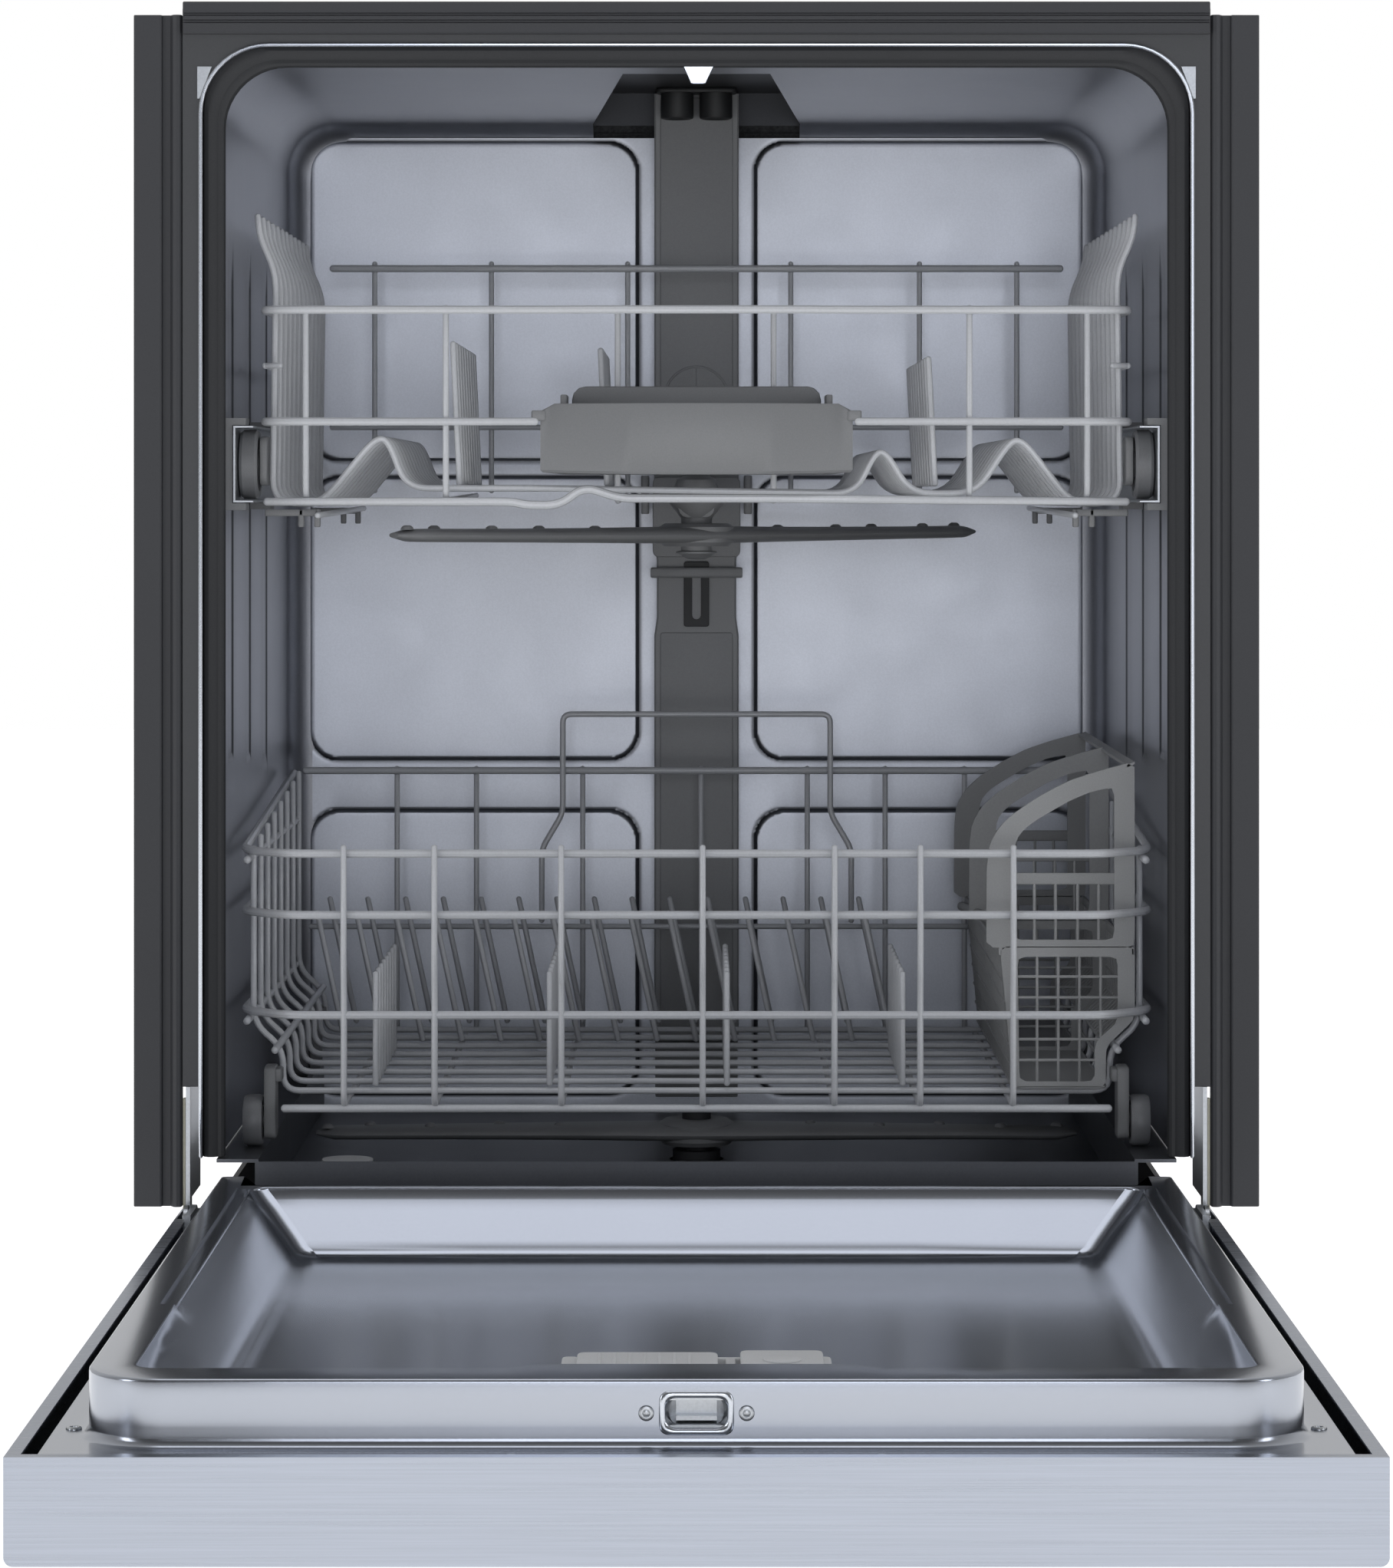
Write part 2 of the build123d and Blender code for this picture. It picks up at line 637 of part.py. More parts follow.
# Control fascia let into the outer face beside the door's top edge, with a hand pocket.
fascia_y0 = door_far + 10 + clearance
fascia_y1 = door_far + 10 + fascia_height - clearance
pocket_half = 90.0
pocket_depth = 20.0
button_y = fascia_y0 + 18
button_radius = 6.0
button_x = half_door - 69.0
button_xs = {"power_button": -button_x, "program_button": 40.0 - button_x,
             "start_button": button_x}
display_half = 30.0
with BuildPart() as control_fascia:
    block((-half_door + 1, fascia_y0, door_outer_z), (half_door - 1, fascia_y1, door_outer_z + 3))
    block((-pocket_half - 2, fascia_y1 - 44, door_outer_z),
          (pocket_half + 2, fascia_y1 - 2, door_outer_z + pocket_depth + 2))
    block((-pocket_half, fascia_y1 - 42, door_outer_z - 1),
          (pocket_half, fascia_y1 - 4, door_outer_z + pocket_depth), mode=Mode.SUBTRACT)
    for x in button_xs.values():
        with Locations((x, button_y, door_outer_z)):
            Cylinder(button_radius + clearance, 20, mode=Mode.SUBTRACT)
    block((-display_half, button_y - 8, door_outer_z - 1), (display_half, button_y + 8,
                                                           door_outer_z + 4), mode=Mode.SUBTRACT)
pieces["control_fascia"] = control_fascia.part
pieces["display_window"] = solid_box((-display_half, button_y - 8, door_outer_z + 0.3),
                                     (display_half, button_y + 8, door_outer_z + 3))
for name, x in button_xs.items():
    pieces[name] = round_bar((x, button_y, door_outer_z - 1.2), (x, button_y, door_outer_z + 6),
                             button_radius)

# Latch in the liner's far wall: a steel pocket with a catch that gives way to the striker.
with BuildPart() as latch_body:
    block((-latch_half - latch_ear, liner_y0 + liner_sheet, latch_low - 4),
          (latch_half + latch_ear, liner_y0 + 26, latch_high + 4))
    block((-latch_half + 1, liner_y0, latch_low + 1), (latch_half - 1, liner_y0 + 22, latch_high - 1),
          mode=Mode.SUBTRACT)
pieces["latch_body"] = latch_body.part
with BuildPart() as latch_catch:
    block((-9, liner_y0 + 7, latch_low + 2), (9, liner_y0 + 16, latch_low + 4))
    block((-9, liner_y0 + 13, latch_low + 2), (9, liner_y0 + 16, latch_high - 3))
pieces["latch_catch"] = latch_catch.part


def screw_head(x, y, radius=3.6):
    """A low round screw head on the liner's flange."""
    return round_bar((x, y, liner_flange_z), (x, y, liner_flange_z + 1.1), radius)


far_row = door_far + flange_return + 7
screw_x = liner_flange_half - 8.5
screw_spots = [(x, far_row) for x in (15.5 - screw_x, -80.6, 80.6, screw_x - 15.5)]
screw_spots += [(side * screw_x, front_y - reach) for side in (-1, 1) for reach in (623, 430, 240, 60)]
latch_screw_z = latch_low + latch_height / 2
latch_screws = [
    round_bar((x, liner_y0 - 1.2, latch_screw_z), (x, liner_y0, latch_screw_z), 3.4)
    for x in (-latch_half - latch_ear / 2, latch_half + latch_ear / 2)
]
pieces["door_screws"] = group([screw_head(x, y) for x, y in screw_spots] + latch_screws)

# Detergent and rinse-aid dispenser, set into the liner's dish near its far edge.
dispenser_length = 104.0
dispenser_height = 14.0
dispenser_half = 64.0
dispenser_y0 = recess_y0 + recess_slope + 6.0
dispenser_y1 = dispenser_y0 + dispenser_length
dispenser_low = recess_floor_z
dispenser_top = recess_floor_z + dispenser_height
cup_x0 = -58.0
cup_x1 = 12.0
flap_x0 = 20.0
flap_x1 = 60.0
with BuildPart() as dispenser_body:
    block((-dispenser_half, dispenser_y0, dispenser_low), (dispenser_half, dispenser_y1,
                                                           dispenser_top))
    block((cup_x0 + 3, dispenser_y0 + 14, dispenser_low + 2),
          (cup_x1 - 3, dispenser_y1 - 14, dispenser_top + 1), mode=Mode.SUBTRACT)
    with Locations((flap_x0 + 20, dispenser_y1 - 34, dispenser_top)):
        Cylinder(11, 14, mode=Mode.SUBTRACT)
pieces["dispenser_body"] = dispenser_body.part
with BuildPart() as dispenser_lid:
    block((cup_x0, dispenser_y0 + 8, dispenser_top + clearance),
          (cup_x1, dispenser_y1 - 8, dispenser_top + 4))
    block((cup_x0 + 20, dispenser_y0 + 12, dispenser_top + 4),
          (cup_x1 - 20, dispenser_y0 + 18, dispenser_top + 8))
pieces["dispenser_lid"] = dispenser_lid.part
rinse_hinge_z = dispenser_top + 3
rinse_hinge_y = dispenser_y1 - 6
with BuildPart() as rinse_aid_lid:
    block((flap_x0, dispenser_y0 + 40, dispenser_top + clearance),
          (flap_x1, rinse_hinge_y, dispenser_top + 4))
    with Locations(((flap_x0 + flap_x1) / 2, rinse_hinge_y, rinse_hinge_z)):
        Cylinder(2.2, flap_x1 - flap_x0, rotation=(0, 90, 0))
pieces["rinse_aid_lid"] = rinse_aid_lid.part

# Hinge: arms and pins ride in the door, plates stay on the machine.
arm_x0 = liner_flange_half + 1.0
arm_x1 = arm_x0 + 3.4
plate_x0 = arm_x1 + 1.2
plate_x1 = plate_x0 + 2.4


def hinge_arm():
    """Right-hand door arm: a strip along the door's side with the hinge pin at its end."""
    with BuildPart() as piece:
        block((arm_x0, front_y - 130, door_outer_z + door_sheet), (arm_x1, front_y - 20, 140))
        block((arm_x0, front_y - 40, 130), (arm_x1, hinge_y, hinge_z + 8))
        with Locations((arm_x0 + 1.7, hinge_y, hinge_z)):
            Cylinder(9, 3.4, rotation=(0, 90, 0))
        with Locations(((arm_x0 + plate_x1 + 1) / 2, hinge_y, hinge_z)):
            Cylinder(hinge_pin_radius, plate_x1 + 1 - arm_x0, rotation=(0, 90, 0))
    return piece.part


def hinge_plate():
    """Right-hand fixed plate: an upright strip from the frame down round the hinge pin."""
    with BuildPart() as piece:
        block((plate_x0, front_y + 1, hinge_z - 7), (plate_x1, front_y + 13, frame_foot))
        block((plate_x0, front_y + 1, 168), (plate_x1, front_y + 60, frame_foot))
        block((plate_x0, hinge_y, hinge_z - 7), (plate_x1, front_y + 2, hinge_z + 7))
        with Locations(((plate_x0 + plate_x1) / 2, hinge_y, hinge_z)):
            Cylinder(9, plate_x1 - plate_x0, rotation=(0, 90, 0))
            Cylinder(hinge_bore_radius, 30, rotation=(0, 90, 0), mode=Mode.SUBTRACT)
    return piece.part


right_arm = hinge_arm()
right_plate = hinge_plate()
pieces["hinge_arms"] = group([right_arm, mirrored(right_arm)])
pieces["hinge_plates"] = group([right_plate, mirrored(right_plate)])

# Balance gear: a spring along each side of the base and the strap that joins it to the door.
strap_x = plate_x1 + 1.4
right_strap = solid_box((strap_x - 0.8, front_y + 4, 162), (strap_x + 0.6, front_y + 9, 226))
spring_x = base_half + 6.0
right_spring = round_bar((spring_x, front_y + 95, 130), (spring_x, front_y + 330, 130), 5.5, 4.0)
right_gear = [right_strap, right_spring]
pieces["balance_gear"] = group(right_gear + [mirrored(part) for part in right_gear])

# =========================================================================================
# Upper rack
# =========================================================================================
upper_y0 = front_y + upper_front
upper_y1 = front_y + upper_back
cross_wires = 12
cross_pitch = (upper_back - upper_front - 40) / (cross_wires - 1)
flare = 9.0                     # the side wires' tips lean out by this much
ridge_low = 28.0                # foot and crest of the cup ridge, in from the side wires
ridge_crest = 60.0
upper_profile_left = [(-upper_half - flare, 741), (2 - upper_half - flare, 722),
                      (2 - upper_half, 708), (-upper_half, upper_floor),
                      (ridge_low - upper_half, 569), (ridge_crest - upper_half, 607),
                      (ridge_crest + 15 - upper_half, 579), (-94, 579)]
upper_profile_right = [(94, 576), (109, 600), (126, 576), (upper_half - ridge_crest - 25, 576),
                       (upper_half - ridge_crest - 2, 606), (upper_half - ridge_low, 569),
                       (upper_half, upper_floor), (upper_half - 2, 708),
                       (upper_half + flare - 2, 722), (upper_half + flare, 741)]
upper_profile = upper_profile_left + upper_profile_right
rack_wires = []
for index in range(cross_wires):
    y = upper_y0 + 20 + index * cross_pitch
    rack_wires += wire([(x, y, z) for x, z in upper_profile], rack_wire)
long_z = 571.5
uprights = ((-147, 3), (-47, 52), (46, 52), (160, 3))
for x, setback in uprights:
    rack_wires += wire([(x, upper_y0 + setback, upper_front_top + 3),
                        (x, upper_y0 + setback, long_z), (x, upper_y1, long_z + 3)], rack_wire)
for x in (ridge_low - upper_half, upper_half - ridge_low):
    rack_wires += wire([(x, upper_y0, 563), (x, upper_y1, 566)], rack_wire)
cup_half = 91.5
cup_low = 587.0
cup_high = 630.0
rail_wires = []
side_x = upper_half + 3.8
rail_wires += wire([(-side_x, upper_y0, upper_front_top), (-95, upper_y0, upper_front_top),
                    (-60, upper_y0 - 6, upper_front_top), (60, upper_y0 - 6, upper_front_top),
                    (95, upper_y0, upper_front_top), (side_x, upper_y0, upper_front_top)], rail_wire)
for side in (-1, 1):
    x = side * side_x
    rail_wires += wire([(x, upper_y0, upper_front_top), (x, upper_y0 + 130, upper_front_top)],
                       rail_wire)
    rail_wires += wire([(side * (cup_half + 1), upper_y0, 618), (x, upper_y0, 618),
                        (x, upper_y0 + 150, 618)], rail_wire)
    rail_wires += wire([(x, upper_y0 + 10, 651), (x, upper_y1 - 20, 651)], rack_wire)
back_half = upper_half - 5
rail_wires += wire([(-back_half, upper_y1, upper_back_top), (back_half, upper_y1, upper_back_top)],
                   rail_wire)
rail_wires += wire([(-back_half, upper_y1, 620), (back_half, upper_y1, 620)], rack_wire)
rail_wires += wire([(-side_x, upper_y0, 571), (side_x, upper_y0, 571)], rack_wire)
for x in (-215, -137, -46, 63, 149, 214):
    rail_wires += wire([(x, upper_y1 + 3, 576), (x, upper_y1 + 3, upper_back_top + 5)], rack_wire)
pieces["upper_rack_wires"] = group(rack_wires + rail_wires)

tine_rows = ((-140, 666, 0), (-54, 664, 2), (141, 657, 0))
tines = []
for x, top, first in tine_rows:
    for index in range(first, 9):
        y = upper_y0 + 22 + index * cross_pitch
        tines += wire([(x, y + 4, 580), (x - 4, y + 4, top)], rack_wire)
pieces["upper_rack_tines"] = group(tines)

# Grip: a shallow open tray across the front of the upper rack.
with BuildPart() as upper_rack_handle:
    with BuildSketch(Plane.XY.offset(cup_low)):
        with BuildLine():
            ThreePointArc((-cup_half, upper_y0 + 1), (0, upper_y0 - 16), (cup_half, upper_y0 + 1))
            Line((cup_half, upper_y0 + 1), (cup_half - 14, upper_y0 + 46))
            Line((cup_half - 14, upper_y0 + 46), (-cup_half + 14, upper_y0 + 46))
            Line((-cup_half + 14, upper_y0 + 46), (-cup_half, upper_y0 + 1))
        make_face()
    extrude(amount=cup_high - cup_low)
    with BuildSketch(Plane.XY.offset(cup_low + 3)):
        with BuildLine():
            ThreePointArc((-cup_half + 3, upper_y0 + 4), (0, upper_y0 - 12),
                          (cup_half - 3, upper_y0 + 4))
            Line((cup_half - 3, upper_y0 + 4), (cup_half - 16, upper_y0 + 43))
            Line((cup_half - 16, upper_y0 + 43), (-cup_half + 16, upper_y0 + 43))
            Line((-cup_half + 16, upper_y0 + 43), (-cup_half + 3, upper_y0 + 4))
        make_face()
    extrude(amount=cup_high - cup_low, mode=Mode.SUBTRACT)
    block((-cup_half, upper_y0 + 6, cup_high - 22), (cup_half, upper_y0 + 60, cup_high + 1),
          mode=Mode.SUBTRACT)
pieces["upper_rack_handle"] = upper_rack_handle.part

# Rollers of the upper rack run inside a pair of C rails that slide out at half its speed.
wheel_inner = upper_half + 7.6
wheel_outer = wheel_inner + upper_wheel_width
front_wheel_y = front_y + 62
rear_wheel_y = front_y + upper_back - 32
rail_web_x = wheel_outer + 0.8
rail_sheet = 1.4
rail_low = upper_wheel_z - upper_wheel_radius - 0.7
rail_high = upper_wheel_z + upper_wheel_radius + 0.7
rail_front = 30.0
rail_back = tub_inner_depth - 22.0


def roller(y, x0, x1, z, radius):
    """A wheel on its side, bored for its axle."""
    return round_bar((x0, y, z), (x1, y, z), radius, axle_radius + clearance)


def roller_pair(y, x0, x1, z, radius):
    """The left and right wheels on one line."""
    right = roller(y, x0, x1, z, radius)
    return group([right, mirrored(right)])


def slide_rail():
    """Right-hand C rail."""
    with BuildPart() as piece:
        block((wheel_inner + 1, front_y + rail_front, rail_low - rail_sheet),
              (rail_web_x + rail_sheet, front_y + rail_back, rail_high + rail_sheet))
        block((wheel_inner, front_y + rail_front - 1, rail_low),
              (rail_web_x, front_y + rail_back + 1, rail_high), mode=Mode.SUBTRACT)
    return piece.part


def rail_guide(y):
    """Right-hand pads on the tub wall, above and below the sliding rail."""
    low = rail_low - rail_sheet - clearance
    high = rail_high + rail_sheet + clearance
    with BuildPart() as piece:
        block((rail_web_x - 6, y, low - 4), (tub_half, y + 24, low))
        block((rail_web_x - 6, y, high), (tub_half, y + 24, high + 4))
        block((rail_web_x + rail_sheet + clearance, y, low - 4), (tub_half, y + 24, high + 4))
    return piece.part


def roller_bracket(y):
    """Right-hand moulded bracket that clips to the rack's side and carries one axle."""
    with BuildPart() as piece:
        block((side_x - 1.5, y - 14, upper_wheel_z - 13), (wheel_inner - 0.6, y + 14,
                                                          upper_wheel_z + 17))
        with Locations(((side_x + wheel_outer) / 2, y, upper_wheel_z)):
            Cylinder(axle_radius, wheel_outer - side_x - 1, rotation=(0, 90, 0))
    return piece.part


pieces["upper_front_wheels"] = roller_pair(front_wheel_y, wheel_inner, wheel_outer, upper_wheel_z,
                                           upper_wheel_radius)
pieces["upper_rear_wheels"] = roller_pair(rear_wheel_y, wheel_inner, wheel_outer, upper_wheel_z,
                                          upper_wheel_radius)
right_rail = slide_rail()
pieces["slide_rails"] = group([right_rail, mirrored(right_rail)])
right_guides = [rail_guide(front_y + 32), rail_guide(front_y + 196)]
pieces["rail_guides"] = group(right_guides + [mirrored(guide) for guide in right_guides])
right_brackets = [roller_bracket(front_wheel_y), roller_bracket(rear_wheel_y)]
pieces["roller_brackets"] = group(right_brackets + [mirrored(part) for part in right_brackets])

# Feed tube under the upper rack, from the docking port at the back to the arm's hub.
tube_z = upper_arm_z + 19
upper_hub_y = front_y + upper_arm_axis
upper_hub_radius = 10.0
with BuildPart() as upper_feed_tube:
    block((-12, upper_hub_y - 24, tube_z - 9), (12, front_y + conduit_face - 5, tube_z + 6))
    with Locations((0, upper_hub_y, upper_arm_z + 6)):
        Cylinder(upper_hub_radius, 30)
    with Locations((0, upper_hub_y, upper_arm_z - 13)):
        Cylinder(upper_hub_radius + 3, 6)
pieces["upper_feed_tube"] = upper_feed_tube.part
pieces["upper_spray_arm"] = spray_arm(upper_hub_y, upper_arm_z, upper_arm_radius, upper_arm_turn,
                                      15, upper_hub_radius + clearance)

# =========================================================================================
# Lower rack
# =========================================================================================
lower_y0 = front_y + lower_front
lower_y1 = front_y + lower_back
chamfer = 28.5
chamfer_x = lower_half - chamfer
loop_levels = (lower_front_top, 329.5, 271.0)
lower_wires = []
for level in loop_levels:
    back_level = lower_back_top if level == lower_front_top else level
    lower_wires += wire([(-lower_half, lower_y1 - 20, back_level), (-lower_half, lower_y0 + 28, level),
                         (-chamfer_x, lower_y0, level), (chamfer_x, lower_y0, level),
                         (lower_half, lower_y0 + 28, level), (lower_half, lower_y1 - 20, back_level)],
                        rail_wire)
lower_wires += wire([(-lower_half + 4, lower_y1, lower_back_top), (lower_half - 4, lower_y1,
                                                                  lower_back_top)], rail_wire)
lower_wires += wire([(-lower_half + 8, lower_y1, 287), (lower_half - 8, lower_y1, 287)], rack_wire)
lower_wires += wire([(2 - lower_foot_half, lower_y0 + 4, 216), (lower_foot_half - 2, lower_y0 + 4, 216)],
                    rail_wire)
upright_lower = (-206, -153, -79, 3.6, 80.6, 130.7, 185)
floor_wires = []
for x in upright_lower:
    floor_wires += wire([(x, lower_y0 - 4, 371), (x, lower_y0 - 4, 300), (x, lower_y0 - 1, 285),
                         (x, lower_y0 - 1, 218), (x, lower_y1, 218)], rack_wire)
for x in (-200, -147, -76, 3, 74, 126, 179):
    floor_wires += wire([(x, lower_y1 + 4, 218), (x, lower_y1 + 4, lower_back_top + 3)], rack_wire)
side_in = lower_half - 4.5
floor_pitch = (lower_y1 - lower_y0 - 75) / 7
for index in range(8):
    y = lower_y0 + 40 + index * floor_pitch
    top = lower_front_top + (lower_back_top - lower_front_top) * index / 7 + 2
    floor_wires += wire([(-side_in, y, top), (-side_in, y, 262), (-lower_foot_half, y, 247),
                         (-lower_foot_half, y, lower_floor), (lower_foot_half, y, lower_floor),
                         (lower_foot_half, y, 247), (side_in, y, 262), (side_in, y, top)], rack_wire)
bail_y = lower_y1 - 8
floor_wires += wire([(-103, bail_y, 290), (-103, bail_y, 339.5), (-89, bail_y, 363),
                     (-89, bail_y, 429), (89, bail_y, 429), (89, bail_y, 363),
                     (103, bail_y, 339.5), (103, bail_y, 290)], rack_wire)
pieces["lower_rack_wires"] = group(lower_wires + floor_wires)

lower_tines = []
for y in (lower_y1 - 130, lower_y1 - 23):
    for index in range(15):
        x = -225 + 25 * index
        lower_tines += wire([(x, y, lower_floor + 3), (x - 18, y, 309)], rack_wire)
for x in (-190, -87, 18, 122):
    for index in range(8):
        y = front_y + 70 + index * 24.5
        lower_tines += wire([(x, y, lower_floor + 3), (x, y + 2, 293)], rack_wire)
pieces["lower_rack_tines"] = group(lower_tines)

lower_wheel_z = ledge_top + lower_wheel_radius + 0.2
lower_wheel_inner = lower_foot_half + 10.0
lower_wheel_outer = lower_wheel_inner + lower_wheel_width
wheel_spots = (front_y + 58, lower_y1 - 38)


def lower_bracket(y):
    """Right-hand clip on the lower rack's foot, with the wheel's axle."""
    with BuildPart() as piece:
        block((lower_foot_half + 2.2, y - 11, 196), (lower_wheel_inner - 0.6, y + 11, 240))
        with Locations(((lower_foot_half + lower_wheel_outer) / 2, y, lower_wheel_z)):
            Cylinder(axle_radius, lower_wheel_outer - lower_foot_half - 6, rotation=(0, 90, 0))
    return piece.part


lower_right = [lower_bracket(y) for y in wheel_spots]
pieces["wheel_brackets"] = group(lower_right + [mirrored(part) for part in lower_right])
for name, y in zip(("lower_front_wheels", "lower_rear_wheels"), wheel_spots):
    pieces[name] = roller_pair(y, lower_wheel_inner, lower_wheel_outer, lower_wheel_z,
                               lower_wheel_radius)

# Cutlery basket: two open cells that narrow to their floor, and three arched plates.
basket_right = lower_half - 8.0
basket_y0 = lower_y0 + 27
basket_y1 = lower_y1 - 12
basket_low = lower_floor + rack_wire / 2 + 0.4
basket_rim = 308.0
basket_wall = 2.4
arch_top = 418.0
arch_left = basket_right - 88.0
body_left = basket_right - 80.0
cells = 2


def basket_body(inset, low, high):
    """The basket's outline across the machine, drawn in by inset, from low up to high."""
    left = body_left + inset
    right = basket_right - inset
    foot_left = left + 8
    foot_right = right - 17
    return [(foot_left, low), (foot_right, low), (foot_right, 249), (right, 265), (right, high),
            (left, high)]


with BuildPart() as silverware_basket:
    with BuildSketch(upright_plane(basket_y0)):
        with BuildLine():
            Polyline(*basket_body(0, basket_low, basket_rim), close=True)
        make_face()
    extrude(amount=-(basket_y1 - basket_y0))
    cell_length = (basket_y1 - basket_y0 - basket_wall) / cells
    for index in range(cells):
        cell_y = basket_y0 + basket_wall + index * cell_length
        with BuildSketch(upright_plane(cell_y)):
            with BuildLine():
                Polyline(*basket_body(basket_wall, basket_low + basket_wall, basket_rim + 1), close=True)
            make_face()
        extrude(amount=-(cell_length - basket_wall), mode=Mode.SUBTRACT)
    for index in range(cells + 1):
        with BuildSketch(upright_plane(basket_y0 + index * cell_length)):
            with BuildLine():
                Polyline((arch_left, basket_rim), (arch_left, 368), (arch_left + 16, 388),
                         (arch_left + 50, 407), (basket_right, arch_top), (basket_right, basket_rim),
                         close=True)
            make_face()
            with BuildLine():
                Polyline((arch_left + 16, basket_rim + 5), (arch_left + 16, 371),
                         (arch_left + 48, 394), (basket_right - 12, 403),
                         (basket_right - 12, basket_rim + 5), close=True)
            make_face(mode=Mode.SUBTRACT)
        extrude(amount=-basket_wall)
pieces["silverware_basket"] = silverware_basket.part

# =========================================================================================
# Export
# =========================================================================================
os.makedirs("parts", exist_ok=True)
for name, part in pieces.items():
    part.label = name
    export_step(part, f"parts/{name}.step")
print(len(pieces), "sub-parts")
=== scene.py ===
import math

import bmesh
import bpy
import numpy as np
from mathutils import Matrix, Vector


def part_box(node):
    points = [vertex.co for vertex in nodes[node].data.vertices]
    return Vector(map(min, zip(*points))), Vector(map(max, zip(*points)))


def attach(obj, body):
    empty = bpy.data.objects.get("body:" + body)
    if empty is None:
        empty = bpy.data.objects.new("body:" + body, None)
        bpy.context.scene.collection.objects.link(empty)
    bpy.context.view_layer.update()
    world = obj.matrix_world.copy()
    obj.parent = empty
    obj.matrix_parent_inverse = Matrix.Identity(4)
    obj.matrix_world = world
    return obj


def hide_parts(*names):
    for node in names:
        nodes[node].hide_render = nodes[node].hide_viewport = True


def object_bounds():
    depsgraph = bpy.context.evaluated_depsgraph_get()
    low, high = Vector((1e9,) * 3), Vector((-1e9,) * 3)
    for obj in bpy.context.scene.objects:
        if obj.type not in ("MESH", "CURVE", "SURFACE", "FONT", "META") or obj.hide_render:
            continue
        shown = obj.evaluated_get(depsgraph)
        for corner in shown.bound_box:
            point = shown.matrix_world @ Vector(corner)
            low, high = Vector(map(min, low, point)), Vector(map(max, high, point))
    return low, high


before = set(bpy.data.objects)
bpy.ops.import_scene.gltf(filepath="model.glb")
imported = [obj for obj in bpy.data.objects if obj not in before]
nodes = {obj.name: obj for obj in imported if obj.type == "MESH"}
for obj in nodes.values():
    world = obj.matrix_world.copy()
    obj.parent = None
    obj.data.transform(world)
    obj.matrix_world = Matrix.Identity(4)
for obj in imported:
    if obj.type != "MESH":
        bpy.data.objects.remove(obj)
cad_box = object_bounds()

# ------------------------------------------------------------------------------------------
# Studio. A long lens stands level in front of the open machine, shifted down so that
# uprights stay upright. The room is white, with a broad soft light in front and one above.
# ------------------------------------------------------------------------------------------
front_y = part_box("tub_shell")[0].y          # the tub's front plane

camera_data = bpy.data.cameras.new("camera")
camera_data.lens = 109.9
camera_data.sensor_width = 36.0
camera_data.shift_y = -0.185
camera = bpy.data.objects.new("camera", camera_data)
bpy.context.scene.collection.objects.link(camera)
camera.location = (0.0, front_y - 2.764, 0.5756)
camera.rotation_euler = (math.pi / 2, 0.0, 0.0)
bpy.context.scene.camera = camera
bpy.context.scene.view_settings.view_transform = "Standard"


def linear(code):
    """An sRGB hex colour as linear RGB with alpha 1, by the sRGB transfer curve."""
    parts = np.array([int(code[i:i + 2], 16) for i in (0, 2, 4)]) / 255.0
    curve = np.where(parts <= 0.04045, parts / 12.92, ((parts + 0.055) / 1.055) ** 2.4)
    return (*curve.tolist(), 1.0)


def add_node(tree, kind, inputs=None, **settings):
    """Adds one shader node, sets its properties and fills its inputs with values or links."""
    made = tree.nodes.new(kind)
    for key, value in settings.items():
        setattr(made, key, value)
    for key, value in (inputs or {}).items():
        if isinstance(value, bpy.types.NodeSocket):
            tree.links.new(value, made.inputs[key])
        else:
            made.inputs[key].default_value = value
    return made


def new_material(name, **sockets):
    """A material whose Principled shader takes the given values on its own sockets."""
    material = bpy.data.materials.new(name)
    material.use_nodes = True
    shader = material.node_tree.nodes["Principled BSDF"]
    for key, value in sockets.items():
        shader.inputs[key.replace("_", " ").title()].default_value = value
    return material, material.node_tree, shader


def piece_of(name, shells, material, closed=True, flip=False, crease=35.0):
    """One smooth mesh object at the origin from (points, faces) shells.

    Closed shells have their normals turned outward; edges sharper than crease degrees show."""
    points, faces, start = [], [], 0
    for shell_points, shell_faces in shells:
        shell_points = np.asarray(shell_points, float).reshape(-1, 3)
        points.append(shell_points)
        faces += [[int(index) + start for index in (face[::-1] if flip else face)]
                  for face in shell_faces]
        start += len(shell_points)
    mesh = bpy.data.meshes.new(name)
    mesh.from_pydata(np.vstack(points).tolist(), [], faces)
    if closed:
        work = bmesh.new()
        work.from_mesh(mesh)
        bmesh.ops.recalc_face_normals(work, faces=work.faces)
        work.to_mesh(mesh)
        work.free()
    mesh.materials.append(material)
    mesh.polygons.foreach_set("use_smooth", [True] * len(mesh.polygons))
    mesh.set_sharp_from_angle(angle=math.radians(crease))
    piece = bpy.data.objects.new(name, mesh)
    bpy.context.scene.collection.objects.link(piece)
    return piece


floor_paint, floor_tree, floor_shader = new_material("studio_floor", roughness=0.95,
                                                     base_color=linear("FAFAFA"),
                                                     emission_color=linear("FFFFFF"),
                                                     emission_strength=0.75)
floor = piece_of("studio_floor", [([(-9, -9, 0), (9, -9, 0), (9, 9, 0), (-9, 9, 0)],
                                   [[0, 1, 2, 3]])], floor_paint, closed=False)

